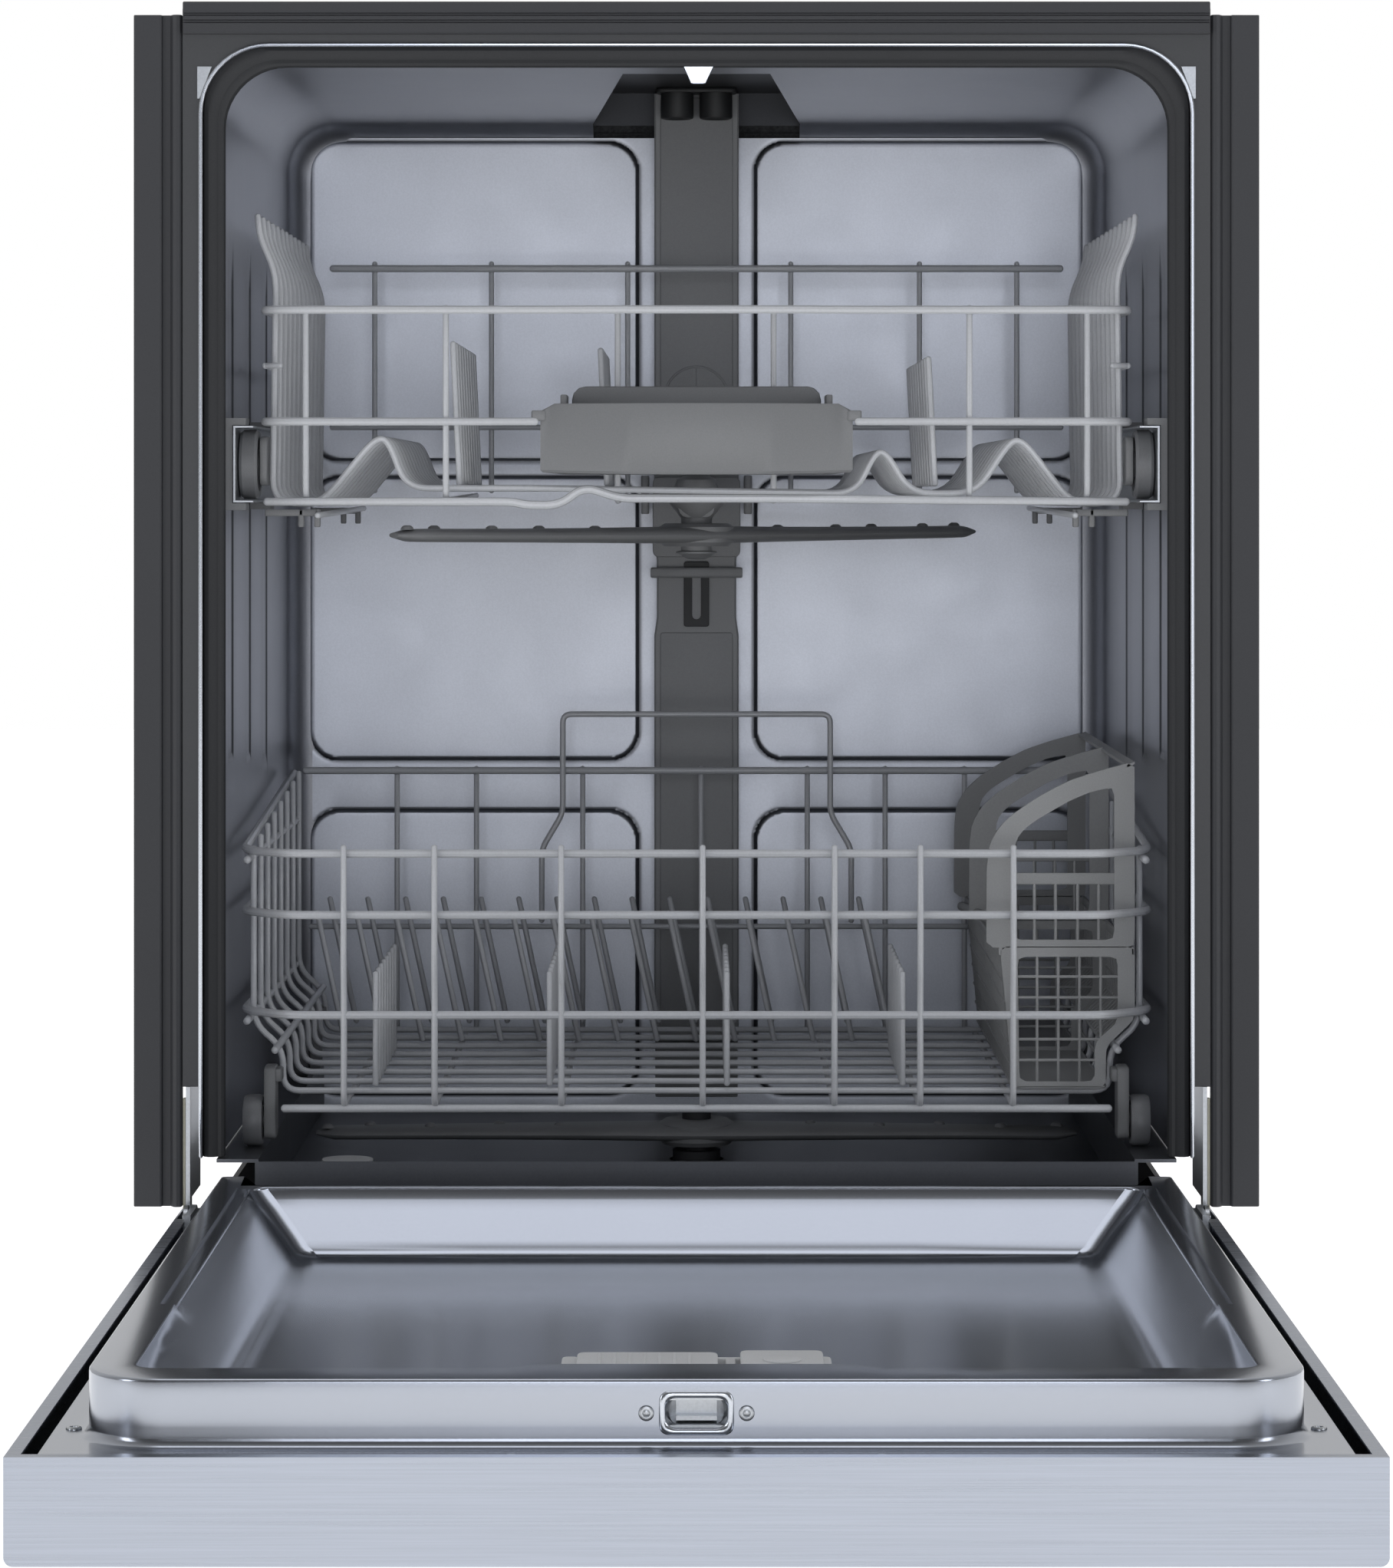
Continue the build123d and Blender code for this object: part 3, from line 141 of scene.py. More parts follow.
# Straight to the lens the room is plain white. As light it is white behind and over the
# machine and dim behind the lens, so that steel facing forward takes its tone from the lamps.
world = bpy.data.worlds.new("white_room")
bpy.context.scene.world = world
world.use_nodes = True
room = world.node_tree
aim = add_node(room, "ShaderNodeSeparateXYZ",
               {"Vector": add_node(room, "ShaderNodeTexCoord").outputs["Generated"]})
lit = add_node(room, "ShaderNodeMapRange", {"Value": aim.outputs["Y"], "From Min": -0.8,
                                            "From Max": 0.5, "To Min": 0.12, "To Max": 0.7})
seen = add_node(room, "ShaderNodeLightPath").outputs["Is Camera Ray"]
strength = add_node(room, "ShaderNodeMix", {"Factor": seen, "A": lit.outputs["Result"],
                                            "B": 1.0}, data_type="FLOAT")
room.nodes["Background"].inputs["Color"].default_value = linear("FFFFFF")
room.links.new(strength.outputs["Result"], room.nodes["Background"].inputs["Strength"])


def soft_light(name, place, aim_at, width, height, power, tint="FFFFFF"):
    """A rectangular soft light at place, turned to face aim_at."""
    data = bpy.data.lights.new(name, "AREA")
    data.shape = "RECTANGLE"
    data.size = width
    data.size_y = height
    data.energy = power
    data.color = linear(tint)[:3]
    lamp = bpy.data.objects.new(name, data)
    bpy.context.scene.collection.objects.link(lamp)
    lamp.location = place
    turn = Vector(aim_at) - Vector(place)
    lamp.rotation_euler = turn.to_track_quat("-Z", "Y").to_euler()


soft_light("front_light", (0.12, -4.3, 1.0), (0.0, 0.1, 0.5), 1.3, 1.5, 18.0, "F1F5FF")
soft_light("top_light", (0.0, -0.55, 2.9), (0.0, -0.3, 0.0), 1.8, 1.2, 9.0, "F4F7FF")
soft_light("left_light", (-3.0, -2.2, 1.2), (0.0, -0.1, 0.4), 0.8, 1.6, 15.0, "F4F7FF")
soft_light("right_light", (3.0, -2.2, 1.2), (0.0, -0.1, 0.4), 0.8, 1.6, 15.0, "F4F7FF")

# ------------------------------------------------------------------------------------------
# Door skin and fascia: folded pans of stainless steel, brushed across the door. The brushing
# draws pale and dark streaks along it and spreads reflections the other way.
# ------------------------------------------------------------------------------------------


def brushed_steel(name, tint, along, roughness, streak=0.0009, length=0.11, depth=0.00004):
    """Stainless steel with noise drawn out along one axis in its colour, gloss and height.

    Streaks are about a millimetre wide, coarser than real brushing, so that they show."""
    material, tree, shader = new_material(name, metallic=1.0, roughness=roughness,
                                          base_color=linear(tint), anisotropic=0.5)
    place = add_node(tree, "ShaderNodeTexCoord").outputs["Object"]
    scale = [1.0 / length if axis == along else 1.0 / streak for axis in "xyz"]
    drawn = add_node(tree, "ShaderNodeMapping", {"Vector": place, "Scale": scale})
    grain = add_node(tree, "ShaderNodeTexNoise", {"Vector": drawn.outputs["Vector"], "Scale": 1.0,
                                                  "Detail": 3.0}).outputs["Fac"]
    tone = add_node(tree, "ShaderNodeMapRange", {"Value": grain, "From Min": 0.3, "From Max": 0.7,
                                                 "To Min": 0.88, "To Max": 1.04})
    colour = add_node(tree, "ShaderNodeMix", {"Factor": 1.0, "A": linear(tint),
                                              "B": tone.outputs["Result"]},
                      data_type="RGBA", blend_type="MULTIPLY")
    tree.links.new(colour.outputs["Result"], shader.inputs["Base Color"])
    gloss = add_node(tree, "ShaderNodeMapRange", {"Value": grain, "From Min": 0.3, "From Max": 0.7,
                                                  "To Min": roughness - 0.05,
                                                  "To Max": roughness + 0.07})
    tree.links.new(gloss.outputs["Result"], shader.inputs["Roughness"])
    bump = add_node(tree, "ShaderNodeBump", {"Height": grain, "Strength": 0.35, "Distance": depth})
    tree.links.new(bump.outputs["Normal"], shader.inputs["Normal"])
    return material


def grained(name, tint, roughness, grain, depth, mottle=0.04, cloud=0.05, **sockets):
    """A rolled, moulded, coated or plated finish.

    Clouds of the given size vary its gloss by a twentieth, and a grain of the given size varies
    its colour by mottle and its height by depth."""
    material, tree, shader = new_material(name, roughness=roughness, base_color=linear(tint),
                                          **sockets)
    place = add_node(tree, "ShaderNodeTexCoord").outputs["Object"]
    clouds = add_node(tree, "ShaderNodeTexNoise", {"Vector": place, "Scale": 1.0 / cloud,
                                                   "Detail": 3.0}).outputs["Fac"]
    gloss = add_node(tree, "ShaderNodeMapRange", {"Value": clouds, "From Min": 0.3, "From Max": 0.7,
                                                  "To Min": roughness * 0.975,
                                                  "To Max": roughness * 1.03})
    tree.links.new(gloss.outputs["Result"], shader.inputs["Roughness"])
    fine = add_node(tree, "ShaderNodeTexNoise", {"Vector": place, "Scale": 1.0 / grain,
                                                 "Detail": 2.0}).outputs["Fac"]
    tone = add_node(tree, "ShaderNodeMapRange", {"Value": fine, "From Min": 0.3, "From Max": 0.7,
                                                 "To Min": 1.0 - mottle, "To Max": 1.0 + mottle})
    colour = add_node(tree, "ShaderNodeMix", {"Factor": 1.0, "A": linear(tint),
                                              "B": tone.outputs["Result"]},
                      data_type="RGBA", blend_type="MULTIPLY")
    tree.links.new(colour.outputs["Result"], shader.inputs["Base Color"])
    bump = add_node(tree, "ShaderNodeBump", {"Height": fine, "Strength": 0.4, "Distance": depth})
    tree.links.new(bump.outputs["Normal"], shader.inputs["Normal"])
    return material


def dress(material, *names):
    """Gives carried-over CAD nodes their finish."""
    for name in names:
        nodes[name].data.materials.clear()
        nodes[name].data.materials.append(material)


def fit(piece, body, slot, *stands_for):
    """Hangs a piece on its body and hides the CAD nodes that it stands for; its finish, slot, is not
    used.
    """
    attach(piece, body)
    if stands_for:
        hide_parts(*stands_for)


dress(brushed_steel("brushed_stainless_door", "ABB0BA", "x", 0.3), "door_panel", "control_fascia")
# Chrome-look ABS for the buttons; the display window is tinted acrylic over a dark board.
dress(grained("satin_chrome_abs", "9FA1A4", 0.3, 0.0008, 0.00001, metallic=0.8),
      "power_button", "program_button", "start_button")
dress(grained("tinted_acrylic_window", "0B0C0F", 0.06, 0.002, 0.0, coat_weight=0.5),
      "display_window")
# Bitumen felt between the door's two skins, and round the tub.
felt = grained("bitumen_felt", "3A3B3D", 0.95, 0.0022, 0.0009, mottle=0.3)
dress(felt, "door_insulation", "insulation_blanket")

# ------------------------------------------------------------------------------------------
# Door liner: one deep-drawn sheet of bright rolled stainless. It rises from a flat flange to
# a broad rim with tight pressed edges, and dips inside the rim to a dish with sloping walls.
# ------------------------------------------------------------------------------------------
flange_z = 0.1574
rim_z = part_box("door_liner")[1].z
liner_far = front_y - 0.667
liner_near = front_y - 0.043
side_stations = front_y - np.array([0.60, 0.56, 0.53, 0.50, 0.485, 0.4722, 0.4700, 0.44, 0.36,
                                    0.26, 0.16, 0.11])
latch_half = 0.015
latch_low = flange_z + 0.009
latch_high = latch_low + 0.013
latch_z = (latch_low + latch_high) / 2
far_half = np.array([0.0, latch_half, 0.04, 0.070, 0.077, 0.084, 0.12, 0.18])
far_stations = np.concatenate([-far_half[:0:-1], far_half])
notch_half = 0.2562
near_half = np.array([0.0, 0.12, 0.22, 0.25, notch_half - 0.0006, notch_half + 0.0006, 0.262])
near_stations = np.concatenate([-near_half[:0:-1], near_half])
quarter = np.linspace(0, math.pi / 2, 9)


def level_line(half, far, near, far_corner, near_corner, z, notch=0.0, tongue=0.0):
    """One level line of the pressing, counter-clockwise from its far right corner.

    It is a rounded rectangle; between the hinge horns the near side steps out by notch, and
    in the middle of the far side a tongue stands in by a smooth step."""
    def arc(x, y, radius, start):
        return np.column_stack([x + radius * np.cos(start + quarter),
                                y + radius * np.sin(start + quarter)])

    sides = np.clip(side_stations, far + far_corner, near - near_corner)
    near_x = np.clip(near_stations, near_corner - half, half - near_corner)[::-1]
    near_y = near - notch * (np.abs(near_x) < notch_half)
    far_x = np.clip(far_stations, far_corner - half, half - far_corner)
    rise = np.clip((0.084 - np.abs(far_x)) / 0.014, 0, 1)
    far_y = far + tongue * rise * rise * (3 - 2 * rise)
    loop = np.concatenate([
        arc(half - far_corner, far + far_corner, far_corner, -math.pi / 2),
        np.column_stack([np.full(len(sides), half), sides]),
        arc(half - near_corner, near - near_corner, near_corner, 0.0),
        np.column_stack([near_x, near_y]),
        arc(near_corner - half, near - near_corner, near_corner, math.pi / 2),
        np.column_stack([np.full(len(sides), -half), sides[::-1]]),
        arc(far_corner - half, far + far_corner, far_corner, math.pi),
        np.column_stack([far_x, far_y])])
    return np.column_stack([loop, np.broadcast_to(z, len(loop))])


def hat_line(grow, z):
    """A level line of the raised part's outer wall, let out by grow."""
    return level_line(0.2705 + grow, liner_far - grow, liner_near + grow, 0.036 + grow,
                      0.004 + grow, z, notch=0.036)


dish_half = 0.2503
dish_far = front_y - 0.640
dish_near = front_y - 0.086
dish_slope = 0.030
dish_floor_z = 0.152
ledge_far = front_y - 0.471
ledge_drop = 0.0018
lip = 0.0014
foot = 0.0045
crown = 0.0016
rings = [level_line(0.287, front_y - 0.693, front_y - 0.014, 0.006, 0.006, flange_z - 0.0012),
         level_line(0.287, front_y - 0.693, front_y - 0.014, 0.006, 0.006, flange_z),
         hat_line(foot + 0.003, flange_z)]
rings += [hat_line(foot * (1 - math.sin(t)), flange_z + foot * (1 - math.cos(t)))
          for t in np.linspace(0, math.pi / 2, 7)]
rings += [hat_line(0.0, latch_low), hat_line(0.0, latch_high)]
rings += [hat_line(-crown * (1 - math.cos(t)), rim_z - crown + crown * math.sin(t))
          for t in np.linspace(0, math.pi / 2, 5)]


def dish_line(inward, drop, radius=0.010, ledge=True):
    """A level line of the dish's wall, drawn in by inward and sunk by drop below the rim.

    Beside the long ledges the pressing lies lower by the ledge's depth."""
    loop = level_line(dish_half - inward, dish_far + inward, dish_near - inward, radius, radius,
                      rim_z, tongue=0.010)
    on_ledge = (np.abs(loop[:, 0]) > dish_half - 0.003) & (loop[:, 1] > ledge_far)
    on_ledge &= loop[:, 1] < dish_near - 0.009
    loop[:, 2] -= drop + (ledge_drop * on_ledge if ledge else 0.0)
    return loop


rings += [dish_line(-0.0066, 0.0, ledge=False), dish_line(-0.0062, 0.0), dish_line(-0.0010, 0.0)]
rings += [dish_line(lip * math.sin(t) * 0.6, lip * (1 - math.cos(t)))
          for t in np.linspace(0.35, math.pi / 2, 4)]
depth = rim_z - dish_floor_z
fillet = 0.009
for share in (0.15, 0.3, 0.45, 0.6, 0.72, 0.82):
    loop = dish_line(dish_slope * share, depth * share + lip * (1 - share), 0.011, ledge=False)
    # Ahead of the ledges the side wall starts steeper and meets the slope along a diagonal.
    reach = np.clip((ledge_far - loop[:, 1]) / 0.17, 0, 1) * 0.8
    steep = (np.abs(loop[:, 0]) > dish_half - dish_slope - 0.001) & (share < reach)
    loop[:, 0] += np.where(steep, np.sign(loop[:, 0]) * dish_slope * share * 0.45, 0.0)
    rings.append(loop)
wall = np.linspace(0, 1, 7)[1:]
rings += [dish_line(dish_slope * (0.82 + 0.18 * t) + fillet * t * t * 0.9,
                    depth * (0.82 + 0.18 * (1 - (1 - t) ** 2)), 0.012, ledge=False) for t in wall]
rings += [dish_line(dish_slope + 0.03, depth, 0.014, ledge=False),
          dish_line(dish_slope + 0.09, depth - 0.0004, 0.02, ledge=False)]


def grid_faces(rows, columns, closed_rows=False, closed_columns=False):
    """Quads of a rows-by-columns grid of points, joined round where a direction is closed."""
    i = np.arange(rows if closed_rows else rows - 1)[:, None]
    j = np.arange(columns if closed_columns else columns - 1)[None, :]
    i2 = (i + 1) % rows
    j2 = (j + 1) % columns
    quads = np.stack([i * columns + j, i2 * columns + j, i2 * columns + j2, i * columns + j2], -1)
    return quads.reshape(-1, 4)


def skin(stack, wrap=False, caps=True):
    """Points and faces of a skin over a stack of equal closed rings, its ends closed flat."""
    stack = np.asarray(stack, float)
    count, around = stack.shape[:2]
    faces = grid_faces(count, around, closed_rows=wrap, closed_columns=True).tolist()
    if caps and not wrap:
        faces += [list(range(around))[::-1], list(range((count - 1) * around, count * around))]
    return stack.reshape(-1, 3), faces


points, faces = skin(rings, caps=False)
centres = points[np.array(faces)].mean(1)
hole = ((np.abs(centres[:, 0]) < latch_half) & (centres[:, 1] < liner_far + 0.001)
        & (centres[:, 2] > latch_low) & (centres[:, 2] < latch_high))
faces = [face for face, cut in zip(faces, hole.tolist()) if not cut]
around = len(rings[0])
faces.append(list(range(len(points) - around, len(points))))
# Bright annealed stainless, rolled: a soft mirror with a fine pickled grain.
liner_steel = grained("rolled_stainless_liner", "A6AAB2", 0.2, 0.0011, 0.000003, mottle=0.012,
                      metallic=1.0)
liner = piece_of("door_liner_pressing", [(points, faces)], liner_steel, closed=False, flip=True,
                 crease=30.0)
fit(liner, "door", "liner_steel", "door_liner")


# ------------------------------------------------------------------------------------------
# Latch pocket and screws: a drawn steel throat with a rolled bead in the liner's far wall, and
# flat-headed screws on the wall and on the flange, their star recess drawn round.
# ------------------------------------------------------------------------------------------
# Brighter polished steel for the latch pocket and the striker; on the tub's rolled rim the same finish
# is a painted highlight.
bright_steel = grained("polished_latch_steel_rim_highlight", "C6CAD0", 0.2, 0.0008, 0.00001, metallic=1.0)
zinc = grained("zinc_plated_steel", "B9BCBF", 0.32, 0.0012, 0.00002, mottle=0.06, metallic=1.0)


def bent_path(corners, bend=0.009, closed=False):
    """Straight runs between corners, each corner replaced by a parabola.

    The parabola starts and ends min(bend, 0.45 run) from its corner p, at a and b:
    (1-t)^2 a + 2t(1-t) p + t^2 b."""
    points = np.asarray(corners, float)

    def leg(other):
        run = other - points
        size = np.linalg.norm(run, axis=1, keepdims=True)
        return points + run * np.minimum(bend, 0.45 * size) / size

    a, b = leg(np.roll(points, 1, 0))[:, None], leg(np.roll(points, -1, 0))[:, None]
    t = np.linspace(0, 1, 6)[None, :, None]
    curve = (1 - t) ** 2 * a + 2 * t * (1 - t) * points[:, None] + t ** 2 * b
    if closed:
        return curve.reshape(-1, points.shape[1])
    return np.concatenate([points[:1], curve[1:-1].reshape(-1, points.shape[1]), points[-1:]])


def pocket_ring(half_width, half_height, y):
    """A rounded rectangle round the latch, upright, at depth y."""
    corners = [(-half_width, -half_height), (half_width, -half_height), (half_width, half_height),
               (-half_width, half_height)]
    loop = bent_path(corners, 0.005, closed=True)
    return np.column_stack([loop[:, 0], np.full(len(loop), y), latch_z + loop[:, 1]])


far_y = liner_far
bead = [pocket_ring(0.0150 - 0.0016 * math.cos(t), 0.0082 - 0.0016 * math.cos(t),
                    far_y + 0.0004 - 0.0014 * math.sin(t)) for t in np.linspace(-0.6, math.pi, 9)]
cup = [pocket_ring(0.0134, 0.0066, far_y + 0.001), pocket_ring(0.0128, 0.0062, far_y + 0.003),
       pocket_ring(0.0120, 0.0058, far_y + 0.0055)]
latch = piece_of("latch_pocket", [skin(bead[::-1] + cup, caps=False)], bright_steel, closed=False)
fit(latch, "door", "zinc_steel")
dress(zinc, "latch_body", "latch_catch", "hinge_plates")


def turned(profile, centre, axis=2, sides=32):
    """A solid of revolution: (radius, height) points turned about an axis through centre."""
    profile = np.asarray(profile, float)
    angle = np.linspace(0, 2 * math.pi, sides, endpoint=False)
    first, second = [i for i in range(3) if i != axis]
    stack = np.zeros((len(profile), sides, 3))
    stack[..., first] = centre[first] + profile[:, :1] * np.cos(angle)
    stack[..., second] = centre[second] + profile[:, :1] * np.sin(angle)
    stack[..., axis] = centre[axis] + profile[:, 1:]
    return skin(stack)


def screw_head(centre, radius, axis=2, away=1.0):
    """A low pan head round a recess, turned round in place of its six lobes, on a thin pressed ring.
    """
    height = np.array([[0.0, 0.55], [0.25, 0.55], [0.45, 0.30], [0.5, 0.95], [0.72, 1.0],
                       [0.9, 0.8], [1.0, 0.3], [1.0, 0.0]])
    profile = [(radius * (0.02 + r), away * h * 0.0011) for r, h in height]
    return turned(profile, centre, axis, sides=24)


spots = [(side * x, front_y - 0.700 + 0.0136) for side in (-1, 1) for x in (0.0806, 0.2495)]
spots += [(side * 0.2785, front_y - reach) for side in (-1, 1)
          for reach in (0.623, 0.430, 0.240, 0.060)]
heads = [screw_head((x, y, flange_z), 0.0036) for x, y in spots]
heads += [screw_head((side * 0.022, far_y, latch_z), 0.0034, axis=1, away=-1.0)
          for side in (-1, 1)]
screws = piece_of("door_screw_heads", heads, zinc)
fit(screws, "door", "zinc_steel", "door_screws")

# ------------------------------------------------------------------------------------------
# Dispenser: a glass-filled nylon moulding set in the dish. The detergent cup has a sliding
# lid on the left, the rinse-aid cap a hinged flap on the right.
# ------------------------------------------------------------------------------------------
nylon = grained("glass_filled_nylon_light", "CFD0D1", 0.5, 0.0007, 0.00003)
dish_z = dish_floor_z
disp_y0, disp_y1 = front_y - 0.604, front_y - 0.500
disp_top = dish_z + 0.0165


def soft_block(low, high, corner=0.002, edge=0.0008, axis=2):
    """A block between two corners, rounded along one axis by corner and at its ends by edge.

    Rings are rounded rectangles drawn in by edge (1 - sin t) at each end."""
    low, high = np.minimum(low, high), np.maximum(low, high)
    first, second = [i for i in range(3) if i != axis]
    half = (high - low) / 2
    middle = (high + low) / 2
    corner = min(corner, half[first] * 0.98, half[second] * 0.98)
    edge = min(edge, half[axis] * 0.9, corner * 0.9)
    turn = np.linspace(0, math.pi / 2, 4)
    angle = np.concatenate([turn + k * math.pi / 2 for k in range(4)])
    sign_a = np.repeat([1, -1, -1, 1], 4)
    sign_b = np.repeat([1, 1, -1, -1], 4)
    rings = []
    for t, sign in [(0, -1), (0.6, -1), (math.pi / 2, -1), (math.pi / 2, 1), (0.6, 1), (0, 1)]:
        inset = edge * (1 - math.sin(t))
        ring = np.zeros((16, 3))
        ring[:, first] = (middle[first] + sign_a * (half[first] - corner)
                          + (corner - inset) * np.cos(angle))
        ring[:, second] = (middle[second] + sign_b * (half[second] - corner)
                           + (corner - inset) * np.sin(angle))
        ring[:, axis] = middle[axis] + sign * (half[axis] - edge * (1 - math.cos(t)))
        rings.append(ring)
    return skin(rings)


body = [soft_block((-0.064, disp_y0, dish_z), (0.064, disp_y1, dish_z + 0.007), 0.008, 0.001)]
body += [soft_block((x - 0.004, disp_y0 + 0.003, dish_z), (x + 0.004, disp_y1 - 0.004, disp_top),
                    0.003, 0.001) for x in (-0.0595, 0.0595)]
body += [soft_block((-0.057, disp_y1 - 0.010, dish_z), (0.057, disp_y1 - 0.006, disp_top), 0.002),
         soft_block((-0.060, disp_y0 + 0.001, dish_z), (0.060, disp_y0 + 0.005, dish_z + 0.009),
                    0.0015),
         soft_block((0.0135, disp_y0 + 0.006, dish_z), (0.0185, disp_y1 - 0.008, disp_top),
                    0.002)]
body += [soft_block((x - 0.0012, disp_y0 + 0.006, dish_z), (x + 0.0012, disp_y0 + 0.010, disp_top),
                    0.001) for x in np.linspace(-0.05, 0.05, 9)]
dispenser = piece_of("dispenser_moulding", body, nylon)
fit(dispenser, "door", "dispenser_plastic", "dispenser_body")
lid = [soft_block((-0.056, disp_y0 + 0.012, disp_top + 0.0005), (0.010, disp_y1 - 0.012,
                                                             disp_top + 0.0035), 0.004, 0.001),
       soft_block((-0.038, disp_y0 + 0.016, disp_top + 0.003), (-0.010, disp_y0 + 0.022,
                                                            disp_top + 0.0075), 0.002, 0.0008)]
lid += [soft_block((x, disp_y0 + 0.026, disp_top + 0.003), (x + 0.0016, disp_y1 - 0.018,
                                                        disp_top + 0.0042), 0.0006)
        for x in np.linspace(-0.046, -0.004, 7)]
cover = piece_of("detergent_lid", lid, nylon)
fit(cover, "dispenser_lid", "dispenser_plastic", "dispenser_lid")
flap = [soft_block((0.0205, disp_y0 + 0.042, disp_top + 0.0005), (0.0595, disp_y1 - 0.007,
                                                              disp_top + 0.0035), 0.004, 0.001),
        turned([(0.001, 0.0), (0.0075, 0.0), (0.009, 0.0006), (0.009, 0.0012), (0.0078, 0.0018),
                (0.001, 0.0018)], (0.040, disp_y1 - 0.034, disp_top + 0.003), 2)]
cap = piece_of("rinse_aid_flap", flap, nylon)
fit(cap, "rinse_aid_lid", "dispenser_plastic", "rinse_aid_lid")
# Hinge arms and plates stay plain pressed steel; the nylon straps have yellowed to cream.
dress(zinc, "hinge_arms", "counter_brackets")
dress(grained("yellowed_nylon_strap", "C8C5B2", 0.55, 0.001, 0.00004), "balance_gear")

# ------------------------------------------------------------------------------------------
# Tub: drawn stainless, duller than the door. One sheet runs from the rolled rim through the
# gasket channel and along the walls to the back, where six panels are pressed in.
# ------------------------------------------------------------------------------------------
tub_half = 0.2763
tub_top = 0.826
tub_back = front_y + 0.492
rim_half = 0.287
rim_top = 0.8355
ledge_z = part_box("tub_shell")[0].z
side_slots = [(0.0615, 0.091, 0.420, 0.711), (0.175, 0.203, 0.414, 0.711),
              (0.286, 0.316, 0.407, 0.711)]
slot_z = [z for slot in side_slots for z in slot[2:]]


def stations(low, high, spacing, edges=(), width=0.002):
    """Grid stations from low to high at a spacing, packed closer round the given edges."""
    close = [edge + width * np.array([-1.0, -0.5, 0.0, 0.5, 1.0]) for edge in edges]
    line = np.concatenate([np.linspace(low, high, int((high - low) / spacing) + 2), *close])
    return np.unique(np.round(np.clip(line, low, high), 5))


side_up = stations(ledge_z + 0.0005, 0.770, 0.03, slot_z, 0.006)
top_share = np.array([0.0, 0.3, 0.6, 0.85, 1.0])
arc_turn = np.linspace(0, math.pi / 2, 12)


def mouth_line(half, top, corner, y, pocket=0.044):
    """The mouth's U at depth y: up the right side, round the corners and down the left.

    The top run has stations at the pocket's edges, so that the pocket can be cut out."""
    sides = side_up[:, None] * [0, 1] + [half, 0]
    sides[:, 1] = ledge_z + (side_up - ledge_z) * (top - corner - ledge_z) / (0.770 - ledge_z)
    arc = np.column_stack([half - corner + corner * np.cos(arc_turn),
                           top - corner + corner * np.sin(arc_turn)])
    run = np.column_stack([half - corner + (pocket - half + corner) * top_share,
                           np.full(len(top_share), top)])
    right = np.vstack([sides, arc[1:], run[1:]])
    loop = np.vstack([right, right[::-1] * [-1, 1]])
    return np.column_stack([loop[:, 0], np.full(len(loop), y), loop[:, 1]])


def wall_press(points):
    """Pushes the sides out by 2.4 mm in the upright slots; returns how close each edge is, for painted
    shade along the slot edges.
    """
    reach, z = points[..., 1] - front_y, points[..., 2]
    on_side = np.abs(points[..., 0]) > tub_half - 0.0005
    push, seam = np.zeros(reach.shape), np.zeros(reach.shape)
    for low, high, bottom, top in side_slots:
        inside = np.minimum(np.minimum(reach - low, high - reach), np.minimum(z - bottom, top - z))
        push = np.maximum(push, np.clip(inside / 0.0025 + 0.5, 0, 1))
        seam = np.maximum(seam, np.exp(-(inside / 0.0022) ** 2))
    points[..., 0] += np.sign(points[..., 0]) * 0.0009 * push * on_side
    return seam * on_side


bead_turn = np.linspace(-0.5 * math.pi, 0.5 * math.pi, 7)
tub_rings = [mouth_line(rim_half + 0.0003, rim_top + 0.0003, 0.040, front_y + 0.003)]
tub_rings += [mouth_line(rim_half - 0.0006 - 0.0008 * math.sin(t), rim_top - 0.0006
                         - 0.0008 * math.sin(t), 0.0392, front_y + 0.001 - 0.0009 * math.cos(t))
              for t in bead_turn]
tub_rings += [mouth_line(rim_half - 0.0013, rim_top - 0.0013, 0.0388, front_y + d)
              for d in (0.003, 0.012, 0.0205)]
tub_rings += [mouth_line(rim_half - 0.0020, rim_top - 0.0018, 0.038, front_y + 0.0218),
              mouth_line(tub_half + 0.0022, tub_top + 0.0022, 0.0355, front_y + 0.0220),
              mouth_line(tub_half + 0.0006, tub_top + 0.0006, 0.0345, front_y + 0.0226)]
slot_y = [d for slot in side_slots for d in slot[:2]]
reaches = stations(0.0240, 0.468, 0.03, slot_y, 0.003)
tub_rings += [mouth_line(tub_half, tub_top, 0.034, front_y + d,
                         np.interp(d, [0.09, 0.492], [0.044, 0.071])) for d in reaches]
tub_rings += [mouth_line(tub_half - 0.024 * (1 - math.cos(t)), tub_top - 0.012 * (1 - math.cos(t)),
                         0.034, front_y + 0.468 + 0.0235 * math.sin(t), 0.070)
              for t in np.linspace(0.2, math.pi / 2, 7)]
tub_grid = np.array(tub_rings)
# The slots' edges are darkened in the wall steel as painted shade.
seam = wall_press(tub_grid)
# Two shallow crease lines run back along the ceiling; they are drawn only as painted shade lines on
# the flat sheet.
seam += np.exp(-((np.abs(tub_grid[..., 0]) - 0.229) / 0.003) ** 2) * 0.6 * (
    (tub_grid[..., 2] > tub_top - 0.001) & (tub_grid[..., 1] > front_y + 0.03))
rows, columns = tub_grid.shape[:2]
faces = grid_faces(rows, columns)
middle = tub_grid.reshape(-1, 3)[faces].mean(1)
edge_x = np.interp(middle[:, 1] - front_y, [0.09, 0.492], [0.044, 0.071])
in_pocket = ((np.abs(middle[:, 0]) < edge_x) & (middle[:, 1] > front_y + 0.09)
             & (middle[:, 2] > tub_top - 0.02))
